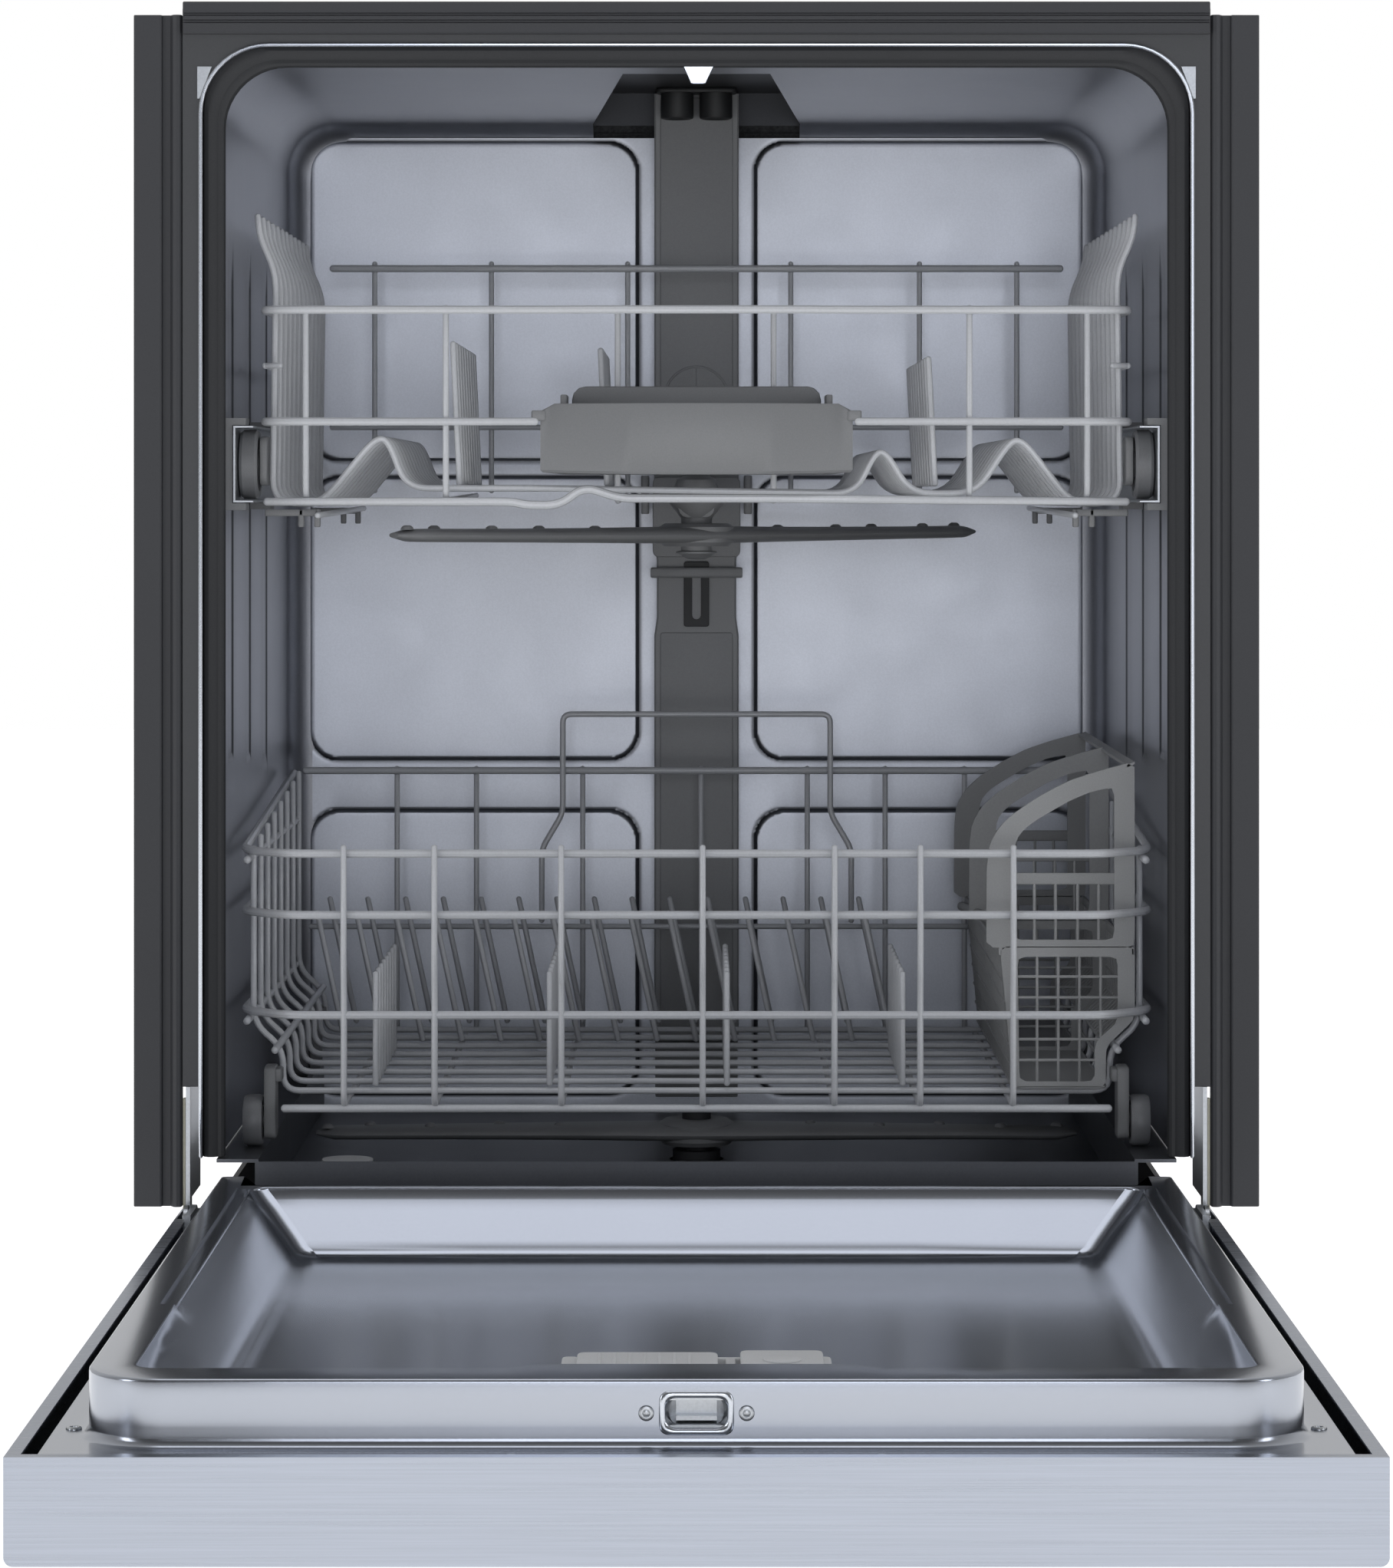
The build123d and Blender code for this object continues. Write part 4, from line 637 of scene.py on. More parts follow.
# The back wall's grid is dense where the panels' rounded outlines run.
panel_x = (0.0394, 0.263)
panel_z = ((0.598, 0.815), (0.3945, 0.5875), (0.167, 0.361))
dense_x = np.concatenate([np.arange(0.036, 0.063, 0.0011), np.arange(0.238, 0.266, 0.0011)])
half_x = np.unique(np.concatenate([dense_x, [0.0, 0.02], np.arange(0.07, 0.236, 0.02), [0.2700]]))
back_x = np.concatenate([-half_x[:0:-1], half_x])
back_z = np.unique(np.concatenate([np.arange(0.160, 0.8135, 0.02)]
                                  + [np.arange(z - 0.003, z + 0.024, 0.0011) for z, _ in panel_z]
                                  + [np.arange(z - 0.024, z + 0.003, 0.0011) for _, z in panel_z]))
back_z = back_z[(back_z > 0.1575) & (back_z < 0.8255)]
grid_x, grid_z = np.meshgrid(back_x, back_z)
line, press = np.zeros(grid_x.shape), np.zeros(grid_x.shape)
for bottom, top in panel_z:
    side_x = np.abs(grid_x) - (panel_x[0] + panel_x[1]) / 2
    q_x = np.abs(side_x) - (panel_x[1] - panel_x[0]) / 2 + 0.020
    q_z = np.abs(grid_z - (top + bottom) / 2) - (top - bottom) / 2 + 0.020
    away = np.hypot(np.maximum(q_x, 0), np.maximum(q_z, 0)) + np.minimum(np.maximum(q_x, q_z), 0)
    away -= 0.020
    # Along the panels' outlines the sheet steps in slightly and is darkened as painted shade.
    line = np.maximum(line, np.exp(-(away / 0.0013) ** 2))
    press = np.maximum(press, np.clip(0.5 - away / 0.004, 0, 1))
depth_y = tub_back - 0.0003 - 0.0022 * press + 0.0016 * line - 0.002
back_grid = np.stack([grid_x, depth_y, grid_z], -1)
back_faces = grid_faces(*grid_x.shape)


def seamed(piece, values):
    """Stores how near each point lies to a pressed line, where the steel is darkened as painted shade.
    """
    layer = piece.data.attributes.new("seam", "FLOAT", "POINT")
    layer.data.foreach_set("value", np.asarray(values, float).ravel())


def drawn_steel(name, tint, dull):
    """Satin rolled stainless, as grained, darkened by 80% where the stored crease value is one:
    painted shade in the pressed lines.
    """
    material = grained(name, tint, dull, 0.0012, 0.00003, mottle=0.035, cloud=0.03, metallic=1.0)
    tree = material.node_tree
    shader = tree.nodes["Principled BSDF"]
    source = shader.inputs["Base Color"].links[0].from_socket
    near = add_node(tree, "ShaderNodeAttribute", attribute_name="seam").outputs["Fac"]
    # Painted shade: towards the pressed lines the colour is mixed up to 80% with near-black.
    shade = add_node(tree, "ShaderNodeMapRange", {"Value": near, "To Min": 0.0, "To Max": 0.8})
    dark = add_node(tree, "ShaderNodeMix", {"Factor": shade.outputs["Result"], "A": source,
                                            "B": linear("16171A")}, data_type="RGBA")
    tree.links.new(dark.outputs["Result"], shader.inputs["Base Color"])
    return material


tub_side_steel = drawn_steel("drawn_stainless_walls", "B2B4BA", 0.36)
tub_back_steel = drawn_steel("drawn_stainless_back", "CBCED5", 0.42)
walls = piece_of("tub_walls_drawn", [(tub_grid.reshape(-1, 3), faces[~in_pocket])],
                 tub_side_steel, closed=False)
seamed(walls, seam)
fit(walls, "cabinet", "tub_steel", "tub_shell")
back_wall = piece_of("tub_back_panels", [(back_grid.reshape(-1, 3), back_faces)], tub_back_steel,
                     closed=False)
seamed(back_wall, line)
fit(back_wall, "cabinet", "tub_steel")
pocket_rings = []
for reach in (0.09, 0.2, 0.35, 0.4915):
    half = float(np.interp(reach, [0.09, 0.492], [0.044, 0.071]))
    pocket_rings.append([(half, front_y + reach, tub_top), (half - 0.001, front_y + reach, 0.8465),
                         (half - 0.003, front_y + reach, 0.848), (0.0, front_y + reach, 0.848),
                         (0.003 - half, front_y + reach, 0.848),
                         (0.001 - half, front_y + reach, 0.8465), (-half, front_y + reach, tub_top)])
pocket_rings = np.array(pocket_rings)
end_caps = [[0, 1, 2, 3, 4, 5, 6], [27, 26, 25, 24, 23, 22, 21]]
# The pocket is drawn in a dark copy of the tub steel: painted shade, as the deep pocket lies unlit.
pocket_steel = grained("tub_pocket_steel_shaded", "4A4B4E", 0.45, 0.0012, 0.00003, metallic=1.0)
pocket = piece_of("tub_ceiling_pocket", [(pocket_rings.reshape(-1, 3),
                                          grid_faces(4, 7).tolist() + end_caps)], pocket_steel,
                  closed=False)
fit(pocket, "cabinet", "tub_steel")
dress(grained("drawn_stainless_floor", "6A6C70", 0.4, 0.0012, 0.00003, metallic=1.0), "tub_floor")

# Gasket: extruded EPDM rubber in the mouth's channel, with a hollow bulb and two thin lips.
rubber = grained("epdm_gasket_rubber", "2C2D2F", 0.7, 0.0009, 0.00003, mottle=0.08)
bulb = [(0.0095, 0.0205), (0.0095, 0.009), (0.0085, 0.006), (0.006, 0.0043), (0.003, 0.0045),
        (0.0008, 0.0062), (-0.0012, 0.0058), (-0.0026, 0.0066), (-0.0030, 0.0080), (-0.0012, 0.0092),
        (-0.0010, 0.0108), (-0.0028, 0.0122), (-0.0031, 0.0136), (-0.0012, 0.0148),
        (-0.0004, 0.0205)]
gasket_rings = [mouth_line(tub_half + out, tub_top + min(out, 0.0083), 0.036, front_y + back)
                for out, back in bulb]
gasket = piece_of("gasket_extrusion", [skin(np.array(gasket_rings).transpose(1, 0, 2))], rubber)
fit(gasket, "cabinet", "seal_rubber", "door_gasket")


def unit(rows):
    """Rows scaled to length one."""
    return rows / np.maximum(np.linalg.norm(rows, axis=-1, keepdims=True), 1e-12)


def round_wire(path, radius, sides=10):
    """Round bar round a path: points P + r (side cos a + up sin a), side = tangent x axis.

    The axis is the one that the path turns least towards; both ends are domed."""
    path = np.asarray(path, float)
    steps = unit(np.diff(path, axis=0))
    tangent = unit(np.vstack([steps[:1], steps[:-1] + steps[1:], steps[-1:]]))
    axis = np.eye(3)[np.abs(tangent).max(0).argmin()]
    side = unit(np.cross(tangent, axis))
    up = np.cross(side, tangent)
    dome = np.array([0.3, 0.8, 1.25])
    rise = (radius * (1 - np.cos(dome)))[:, None]
    centres = np.vstack([path[0] + tangent[0] * rise, path[1:-1],
                         path[-1] - tangent[-1] * rise[::-1]])
    radii = np.concatenate([radius * np.sin(dome), np.full(len(path) - 2, radius),
                            radius * np.sin(dome)[::-1]])[:, None, None]
    pick = np.concatenate([[0, 0, 0], np.arange(1, len(path) - 1), [-1, -1, -1]])
    angle = np.linspace(0, 2 * math.pi, sides, endpoint=False)[None, :, None]
    stack = centres[:, None] + radii * (np.cos(angle) * side[pick][:, None]
                                        + np.sin(angle) * up[pick][:, None])
    return skin(stack)


# The rolled rim, part of the tub's sheet, is drawn again as a bead of the brighter steel: a painted
# highlight along the mouth.
rim = piece_of("tub_rolled_rim", [round_wire(mouth_line(rim_half - 0.0004, rim_top - 0.0004, 0.0395,
                                                       front_y + 0.0013), 0.0013)], bright_steel)
fit(rim, "cabinet", "tub_steel")

# ------------------------------------------------------------------------------------------
# Mouth surround: painted steel frame, a grooved PVC trim along the top, and soft side strips
# that are extruded with a rounded rib, a groove and a flat flap.
# ------------------------------------------------------------------------------------------
frame_paint = grained("frame_powder_coat", "3F4042", 0.5, 0.0009, 0.00003, mottle=0.05)
dress(frame_paint, "front_frame", "toe_panel")
pvc = grained("soft_pvc_strip", "343538", 0.55, 0.0011, 0.00002, mottle=0.06)


def prism(outline, start, end, axis=1, edge=0.0005):
    """An outline in the two other axes carried along an axis, its rims eased by edge.

    The easing draws each point in along the outline's own normal."""
    outline = np.asarray(outline, float)
    along = unit(np.roll(outline, -1, 0) - np.roll(outline, 1, 0))
    normal = np.column_stack([along[:, 1], -along[:, 0]])
    area = np.cross(outline, np.roll(outline, -1, 0)).sum()
    normal = normal if area < 0 else -normal
    first, second = [i for i in range(3) if i != axis]
    stack = []
    for place, inset in [(start, edge), (start + math.copysign(edge, end - start), 0),
                         (end - math.copysign(edge, end - start), 0), (end, edge)]:
        ring = np.zeros((len(outline), 3))
        ring[:, [first, second]] = outline + normal * inset
        ring[:, axis] = place
        stack.append(ring)
    return skin(stack)


top_z = cad_box[1][2]
trim_side = [(front_y + 0.0019, top_z - 0.0188), (front_y - 0.0016, top_z - 0.0188),
             (front_y - 0.0023, top_z - 0.0180), (front_y - 0.0024, top_z - 0.0128),
             (front_y - 0.0010, top_z - 0.0122), (front_y - 0.0010, top_z - 0.0112),
             (front_y - 0.0022, top_z - 0.0106), (front_y - 0.0022, top_z - 0.0086),
             (front_y - 0.0010, top_z - 0.0080), (front_y - 0.0010, top_z - 0.0072),
             (front_y - 0.0024, top_z - 0.0066), (front_y - 0.0024, top_z - 0.0012),
             (front_y - 0.0014, top_z - 0.0002), (front_y + 0.0255, top_z - 0.0002),
             (front_y + 0.0255, top_z - 0.0038), (front_y + 0.0019, top_z - 0.0038)]
trim = piece_of("top_trim_extrusion", [prism(trim_side, -0.2965, 0.2965, axis=0)], pvc, crease=25)
fit(trim, "cabinet", "dark_plastic", "top_trim")


def mirror(shells):
    """The shells with their twins on the other side of the machine."""
    return shells + [(points * [-1, 1, 1], [face[::-1] for face in faces])
                     for points, faces in ((np.asarray(p), f if isinstance(f, list) else f.tolist())
                                           for p, f in shells)]


strip = [(0.2973, front_y + 0.0078), (0.2973, front_y + 0.0030), (0.2985, front_y + 0.0014),
         (0.3005, front_y + 0.0010), (0.3025, front_y + 0.0016), (0.3040, front_y + 0.0042),
         (0.3044, front_y + 0.0055), (0.3088, front_y + 0.0055), (0.3093, front_y + 0.0034),
         (0.3102, front_y + 0.0029), (0.3245, front_y + 0.0031), (0.3254, front_y + 0.0038),
         (0.3254, front_y + 0.0050), (0.3085, front_y + 0.0066), (0.3045, front_y + 0.0066),
         (0.3040, front_y + 0.0078)]
seals = piece_of("side_seal_strips", mirror([prism(strip, 0.1635, 0.8525, axis=2)]), pvc, crease=25)
fit(seals, "cabinet", "seal_rubber", "side_seals")
corner_plates = piece_of("frame_corner_plates", mirror([
    prism([(0.2872, 0.8040), (0.2885, 0.8040), (0.2885, 0.8225), (0.2800, 0.8225)],
          front_y + 0.0012, front_y + 0.0019, axis=1, edge=0.0001)]), zinc)
fit(corner_plates, "cabinet", "zinc_steel")

# ------------------------------------------------------------------------------------------
# Water conduit: a polypropylene duct up the back wall, with the upper arm's docking port, a
# moulded slot below it and two shower nozzles at its top.
# ------------------------------------------------------------------------------------------
duct_plastic = grained("polypropylene_duct_grey", "9D9E9F", 0.5, 0.0008, 0.00003)
duct_y = tub_back - 0.025
slot_hole = bent_path([(-0.0085, 0.486), (0.0085, 0.486), (0.0085, 0.530), (-0.0085, 0.530)],
                      0.002, closed=True)
duct_line = [(-0.0285, 0.2065), (0.0285, 0.2065), (0.0285, 0.480), (0.0268, 0.492), (0.0268, 0.530),
             (0.0285, 0.545), (0.0285, 0.846), (-0.0285, 0.846), (-0.0285, 0.545), (-0.0268, 0.530),
             (-0.0268, 0.492), (-0.0285, 0.480)]
duct = [prism(duct_line, duct_y + 0.0012, tub_back - 0.0025, axis=1, edge=0.0012),
        soft_block((-0.0280, tub_back - 0.0048, 0.166), (0.0280, tub_back - 0.0026, 0.208), 0.001,
                   0.0004, axis=1),
        soft_block((-0.0245, duct_y, 0.215), (0.0245, duct_y + 0.003, 0.482), 0.002, 0.0008, axis=1),
        soft_block((-0.0245, duct_y, 0.592), (0.0245, duct_y + 0.003, 0.843), 0.002, 0.0008, axis=1),
        soft_block((-0.0295, duct_y - 0.004, 0.533), (0.0295, duct_y + 0.003, 0.587), 0.004, 0.001,
                   axis=1),
        soft_block((-0.0310, duct_y - 0.006, 0.519), (0.0310, duct_y + 0.003, 0.526), 0.002, 0.001,
                   axis=0)]
duct += mirror([soft_block((0.0320, duct_y - 0.002, 0.562), (0.0375, duct_y + 0.012, 0.588), 0.002)])
duct += [turned([(0.0005, 0.004), (0.0005, -0.008), (0.006, -0.008), (0.006, -0.011), (0.0125, -0.011),
                 (0.0135, -0.010), (0.0145, 0.004)], (0, duct_y, 0.577), 1)]
arch = np.linspace(0, math.pi, 17)
duct += [round_wire(np.column_stack([0.0215 * np.cos(arch), np.full(17, duct_y - 0.0002),
                                     0.640 + 0.0215 * np.sin(arch)]), 0.0008, 6),
         round_wire([(0, duct_y - 0.0002, 0.592), (0, duct_y - 0.0002, 0.6605)], 0.0005, 6)]
conduit = piece_of("conduit_moulding", duct, duct_plastic)
fit(conduit, "cabinet", "conduit_plastic", "water_conduit")
# Near-black polypropylene that stands in for shade: painted shade in the slot and round the shower
# nozzles.
shade_plastic = grained("polypropylene_painted_shade", "2A2B2C", 0.5, 0.0008, 0.00003)
# The slot's hollow is a near-black block behind the grey bar: painted shade.
port = [prism(slot_hole, duct_y - 0.0006, duct_y + 0.001, axis=1, edge=0.0003),
        soft_block((-0.0030, duct_y - 0.0012, 0.491), (0.0030, duct_y + 0.001, 0.525), 0.0028, 0.0004,
                   axis=1)]
port_piece = piece_of("conduit_slot", port[:1], shade_plastic)
fit(port_piece, "cabinet", "conduit_plastic")
bar_piece = piece_of("conduit_slot_bar", port[1:], duct_plastic)
fit(bar_piece, "cabinet", "conduit_plastic")
# The shower nozzles take the same near-black tone, standing in for the shade round them up in the
# ceiling pocket.
nozzles = mirror([turned([(0.008, -0.001), (0.008, -0.0190), (0.0092, -0.0200), (0.0105, -0.0196),
                          (0.011, -0.0185), (0.011, -0.001)], (0.013, duct_y - 0.012, 0.8475))])
nozzles += [soft_block((-0.027, duct_y - 0.024, 0.8448), (0.027, duct_y, 0.8478), 0.004, 0.001)]
shower = piece_of("shower_nozzles", nozzles, shade_plastic)
fit(shower, "cabinet", "conduit_plastic", "top_shower")
strike = [(-0.0112, rim_top - 0.0012), (0.0138, rim_top - 0.0012), (0.0138, rim_top - 0.0045),
          (0.0052, rim_top - 0.0220), (0.0036, rim_top - 0.0224), (-0.0018, rim_top - 0.0224),
          (-0.0032, rim_top - 0.0220), (-0.0112, rim_top - 0.0045)]
striker_parts = [prism(strike, front_y + 0.0081, front_y + 0.0098, axis=1, edge=0.0003),
                 soft_block((-0.0192, front_y + 0.0072, rim_top - 0.0112),
                            (-0.0133, front_y + 0.0090, rim_top - 0.0012), 0.0008, 0.0004)]
striker = piece_of("latch_striker", striker_parts, bright_steel)
fit(striker, "cabinet", "zinc_steel", "door_striker")

# ------------------------------------------------------------------------------------------
# Upper rack: nylon-coated wire, welded. Twelve U wires rise to combs at the sides and fold
# into cup ridges in the floor; a heavier rail runs round them, bowed forward in the middle.
# ------------------------------------------------------------------------------------------
coating = grained("nylon_coated_wire", "CDCFD2", 0.34, 0.0014, 0.00001, mottle=0.03,
                  coat_weight=0.25)
thin, thick = 0.0019, 0.0025       # radii of the rack wire and the rail wire
side_x = 0.2538                    # the rails' side runs
rail_z = 0.6835
rack_y0, rack_y1 = front_y + 0.040, front_y + 0.432
cross_y = rack_y0 + 0.020 + np.arange(12) * (0.352 / 11)
left_half = [(-0.259, 0.741), (-0.2575, 0.7265), (-0.2480, 0.706), (-0.2500, 0.571), (-0.222, 0.569),
             (-0.190, 0.608), (-0.182, 0.608), (-0.1715, 0.579), (-0.094, 0.579)]
right_half = [(0.094, 0.576), (0.105, 0.600), (0.112, 0.600), (0.126, 0.576), (0.165, 0.576),
              (0.185, 0.607), (0.193, 0.607), (0.222, 0.569), (0.2500, 0.571), (0.2480, 0.706),
              (0.2575, 0.7265), (0.259, 0.741)]
upper_wires = []
for y in cross_y:
    flat = bent_path(left_half + right_half, 0.013)
    upper_wires.append(round_wire(np.column_stack([flat[:, 0], np.full(len(flat), y), flat[:, 1]]),
                                  thin))
for x, setback in ((-0.147, 0.003), (-0.047, 0.052), (0.046, 0.052), (0.160, 0.003)):
    y = rack_y0 + setback
    upper_wires.append(round_wire(bent_path([(x, y, 0.6865), (x, y, 0.5715), (x, rack_y1, 0.5745)]),
                                  thin))
for side in (-1, 1):
    upper_wires += [
        round_wire(bent_path([(side * 0.222, rack_y0, 0.563), (side * 0.222, rack_y1, 0.566)]), thin),
        round_wire([(side * side_x, rack_y0 + 0.010, 0.651), (side * side_x, rack_y1 - 0.020, 0.651)],
                   thin),
        round_wire([(side * 0.243, rack_y0 + 0.006, 0.651), (side * side_x, rack_y0 + 0.012, 0.651)],
                   thin),
        round_wire(bent_path([(side * 0.0925, rack_y0, 0.618), (side * side_x, rack_y0, 0.618),
                              (side * side_x, rack_y0 + 0.150, 0.618)], 0.012), thick),
        round_wire(bent_path([(side * 0.2290, rack_y0 + 0.001, 0.6840),
                              (side * 0.2290, rack_y0 + 0.001, 0.573),
                              (side * 0.2290, rack_y0 + 0.060, 0.569)]), thin)]
bow = [(-side_x, rack_y0 + 0.130, rail_z), (-side_x, rack_y0, rail_z), (-0.095, rack_y0, rail_z),
       (-0.060, rack_y0 - 0.006, rail_z), (0.060, rack_y0 - 0.006, rail_z), (0.095, rack_y0, rail_z),
       (side_x, rack_y0, rail_z), (side_x, rack_y0 + 0.130, rail_z)]
upper_wires.append(round_wire(bent_path(bow, 0.012), thick))
low_front = [(-side_x, rack_y0, 0.571), (-0.1075, rack_y0, 0.571), (-0.100, rack_y0, 0.569),
             (-0.080, rack_y0, 0.569), (-0.066, rack_y0, 0.580), (-0.045, rack_y0, 0.573),
             (0.035, rack_y0, 0.573), (side_x, rack_y0, 0.571)]
upper_wires.append(round_wire(bent_path(low_front, 0.008), thick))
upper_wires += [round_wire([(-0.245, rack_y1, 0.726), (0.245, rack_y1, 0.726)], thick),
                round_wire([(-0.245, rack_y1, 0.620), (0.245, rack_y1, 0.620)], thin)]
upper_wires += [round_wire([(x, rack_y1 + 0.003, 0.576), (x, rack_y1 + 0.003, 0.731)], thin)
                for x in (-0.215, -0.137, -0.046, 0.063, 0.149, 0.214)]
upper_rack = piece_of("upper_rack_wirework", upper_wires, coating)
fit(upper_rack, "upper_rack", "rack_coating", "upper_rack_wires")
rows_of_tines = ((-0.140, 0.666, 0), (-0.054, 0.664, 2), (0.141, 0.657, 0))
tines = [round_wire([(x, y + 0.006, 0.580), (x - 0.004, y + 0.006, top)], thin)
         for x, top, first in rows_of_tines for y in cross_y[first:9]]
upper_tines = piece_of("upper_rack_cup_tines", tines, coating)
fit(upper_tines, "upper_rack", "rack_coating", "upper_rack_tines")

# Grip: a moulded nylon tray across the front, its plain face bowed forward.
grip_plastic = grained("glass_filled_nylon_grip", "848586", 0.46, 0.0008, 0.00003)


def grip_line(inset, z, back=0.046):
    """Outline of the grip at one height: a bowed front, sides that run in and a flat back."""
    across = np.linspace(-1, 1, 25)
    front = np.column_stack([across * (0.0915 - inset),
                             rack_y0 - 0.016 + 0.017 * across ** 2 + inset])
    rear = np.linspace(1, -1, 13)
    rear = np.column_stack([rear * (0.0775 - inset), np.full(13, rack_y0 + back - inset)])
    loop = np.vstack([front, rear])
    return np.column_stack([loop, np.broadcast_to(z, len(loop))])


front_share = np.concatenate([np.linspace(-1, 1, 25), np.full(13, 2.0)])
face_low = 0.587 + 0.0012 * (np.abs(front_share) < 1.5) * front_share ** 2
face_high = np.where(np.abs(front_share) > 1.5, 0.612,
                     0.6285 - 0.004 * np.clip((np.abs(front_share) - 0.93) / 0.07, 0, 1) ** 2)
grip = [skin([grip_line(0.0012, face_low), grip_line(0.0, face_low + 0.0015),
              grip_line(0.0, face_high - 0.0012), grip_line(0.0008, face_high),
              grip_line(0.0022, face_high), grip_line(0.003, face_high - 0.002),
              grip_line(0.003, face_low + 0.004)])]
grip += [soft_block((-0.074, rack_y0 + 0.040, 0.600), (0.074, rack_y0 + 0.0455, 0.6395), 0.008, 0.001,
                    axis=1)]
grip += mirror([soft_block((0.088, rack_y0 - 0.001, 0.6185), (0.0968, rack_y0 + 0.012, 0.6245), 0.002),
                soft_block((0.076, rack_y0 + 0.008, 0.605), (0.080, rack_y0 + 0.043, 0.634), 0.0015)])
handle = piece_of("grip_tray", grip, grip_plastic, crease=40)
fit(handle, "upper_rack", "grey_plastic", "upper_rack_handle")

# Wheels and brackets: acetal rollers on moulded axles, in pressed C rails on both walls.
acetal = grained("acetal_roller_grey", "7D7E80", 0.42, 0.0007, 0.00002)


def tyre(x, y, z, radius, width):
    """A roller with rounded shoulders, a sunk web and a raised boss, its face turned inward."""
    profile = [(0.0046, 0.0), (0.0085, 0.0), (0.0090, 0.0016), (radius * 0.72, 0.0016),
               (radius * 0.78, 0.0002), (radius * 0.93, 0.0002), (radius, 0.0018),
               (radius, width - 0.0018), (radius * 0.93, width), (0.0046, width)]
    return turned(profile, (x, y, z), 0, sides=40)


upper_axles = (front_y + 0.062, front_y + 0.400)
for name, y in zip(("upper_front_wheels", "upper_rear_wheels"), upper_axles):
    pair = piece_of(name + "_rollers", mirror([tyre(0.2577, y, 0.593, 0.0205, 0.0108)]), acetal)
    fit(pair, name, "grey_plastic", name)
clips = []
for y in upper_axles:
    clips += [soft_block((0.2525, y - 0.0135, 0.5805), (0.2568, y + 0.0135, 0.6095), 0.006, 0.001,
                         axis=0),
              turned([(0.0005, 0), (0.0036, 0), (0.0039, 0.0012), (0.0039, 0.0140), (0.0005, 0.0146)],
                     (0.2535, y, 0.593), 0),
              soft_block((0.2225, y - 0.010, 0.5625), (0.2540, y - 0.006, 0.5665), 0.001),
              soft_block((0.2215, y - 0.010, 0.5560), (0.2250, y - 0.004, 0.5665), 0.001),
              soft_block((0.2310, y - 0.010, 0.5560), (0.2345, y - 0.004, 0.5665), 0.001)]
brackets = piece_of("roller_clips", mirror(clips), grip_plastic)
fit(brackets, "upper_rack", "grey_plastic", "roller_brackets")
channel = [(0.2588, 0.5706), (0.2706, 0.5706), (0.2706, 0.6154), (0.2588, 0.6154), (0.2588, 0.6142),
           (0.2692, 0.6142), (0.2692, 0.5718), (0.2588, 0.5718)]
rails = piece_of("slide_channels", mirror([prism(channel, front_y + 0.0305, front_y + 0.4695, axis=1,
                                                 edge=0.0002)]), zinc, crease=25)
fit(rails, "slide_rails", "zinc_steel", "slide_rails")
dress(grip_plastic, "rail_guides", "pump_impeller", "filter_cylinder")

# ------------------------------------------------------------------------------------------
# Spray arms: two shells of polypropylene welded round their edge, thick at the hub and thin
# at the tips, with a row of raised nozzles.
# ------------------------------------------------------------------------------------------
arm_plastic = grained("polypropylene_arm", "828384", 0.44, 0.0008, 0.00002)


def blades(centre, reach, turn, root=0.025, tip=0.013, droop=0.0):
    """A two-bladed arm; along each blade half width goes from root to tip, height likewise.

    Cross-sections are flattened ellipses; the weld's thin rim at mid height is not drawn."""
    share = np.linspace(-1, 1, 41)
    ease = np.sqrt(np.clip(1 - ((np.abs(share) - 0.93) / 0.075).clip(0) ** 2, 0.02, 1))
    half = (tip + (root - tip) * (1 - np.abs(share)) ** 1.3) * ease
    high = (0.0040 + 0.0016 * (1 - np.abs(share)) ** 2) * np.clip(ease, 0.35, 1)
    angle = np.linspace(0, 2 * math.pi, 20, endpoint=False)
    c, s = np.cos(angle), np.sin(angle)
    x = share[:, None] * reach * np.ones(20)
    y = half[:, None] * np.sign(c) * np.abs(c) ** 0.75
    z = high[:, None] * s - droop * share[:, None] ** 2
    a = math.radians(turn)
    spin = np.array([[math.cos(a), math.sin(a), 0], [-math.sin(a), math.cos(a), 0], [0, 0, 1]])
    shells = [skin(np.stack([x, y, z], -1) @ spin + centre)]
    along = np.array([-0.97, -0.86, -0.70, -0.52, -0.36, 0.30, 0.48, 0.64, 0.80, 0.95])
    for k, place in enumerate(along):
        spot = np.array([place * reach, (0.004 if k % 2 else -0.004), 0.0])
        spot = spot @ spin + centre
        spot[2] += 0.0034 - droop * place ** 2
        shells.append(turned([(0.0004, 0.0026), (0.0018, 0.0026), (0.0032, 0.0018), (0.0042, 0.0)],
                             spot, sides=12))
    return shells


arm_y, arm_z = front_y + 0.226, 0.550
upper = blades((0, arm_y, arm_z), 0.2315, 39, droop=-0.0010)
upper += [turned([(0.0105, -0.0070), (0.0200, -0.0070), (0.0235, -0.0045), (0.0235, 0.0050),
                  (0.0200, 0.0072), (0.0105, 0.0072)], (0, arm_y, arm_z), sides=40)]
upper_arm = piece_of("upper_arm_shells", upper, arm_plastic)
fit(upper_arm, "upper_spray_arm", "dark_plastic", "upper_spray_arm")
feed = [soft_block((-0.0115, arm_y - 0.010, 0.5605), (0.0115, duct_y - 0.0055, 0.5745), 0.006, 0.001,
                   axis=1),
        turned([(0.0005, -0.0155), (0.0055, -0.0150), (0.0100, -0.0125), (0.0128, -0.0115),
                (0.0128, -0.0105), (0.0098, -0.0098), (0.0098, 0.0105), (0.0185, 0.0215),
                (0.0190, 0.0235), (0.0140, 0.0255), (0.0138, 0.0300), (0.0120, 0.0345),
                (0.0060, 0.0375), (0.0005, 0.0380)], (0, arm_y, arm_z), sides=36)]
feed_tube = piece_of("upper_feed_moulding", feed, grip_plastic)
fit(feed_tube, "upper_rack", "grey_plastic", "upper_feed_tube")
low_y, low_z = front_y + 0.244, 0.1755
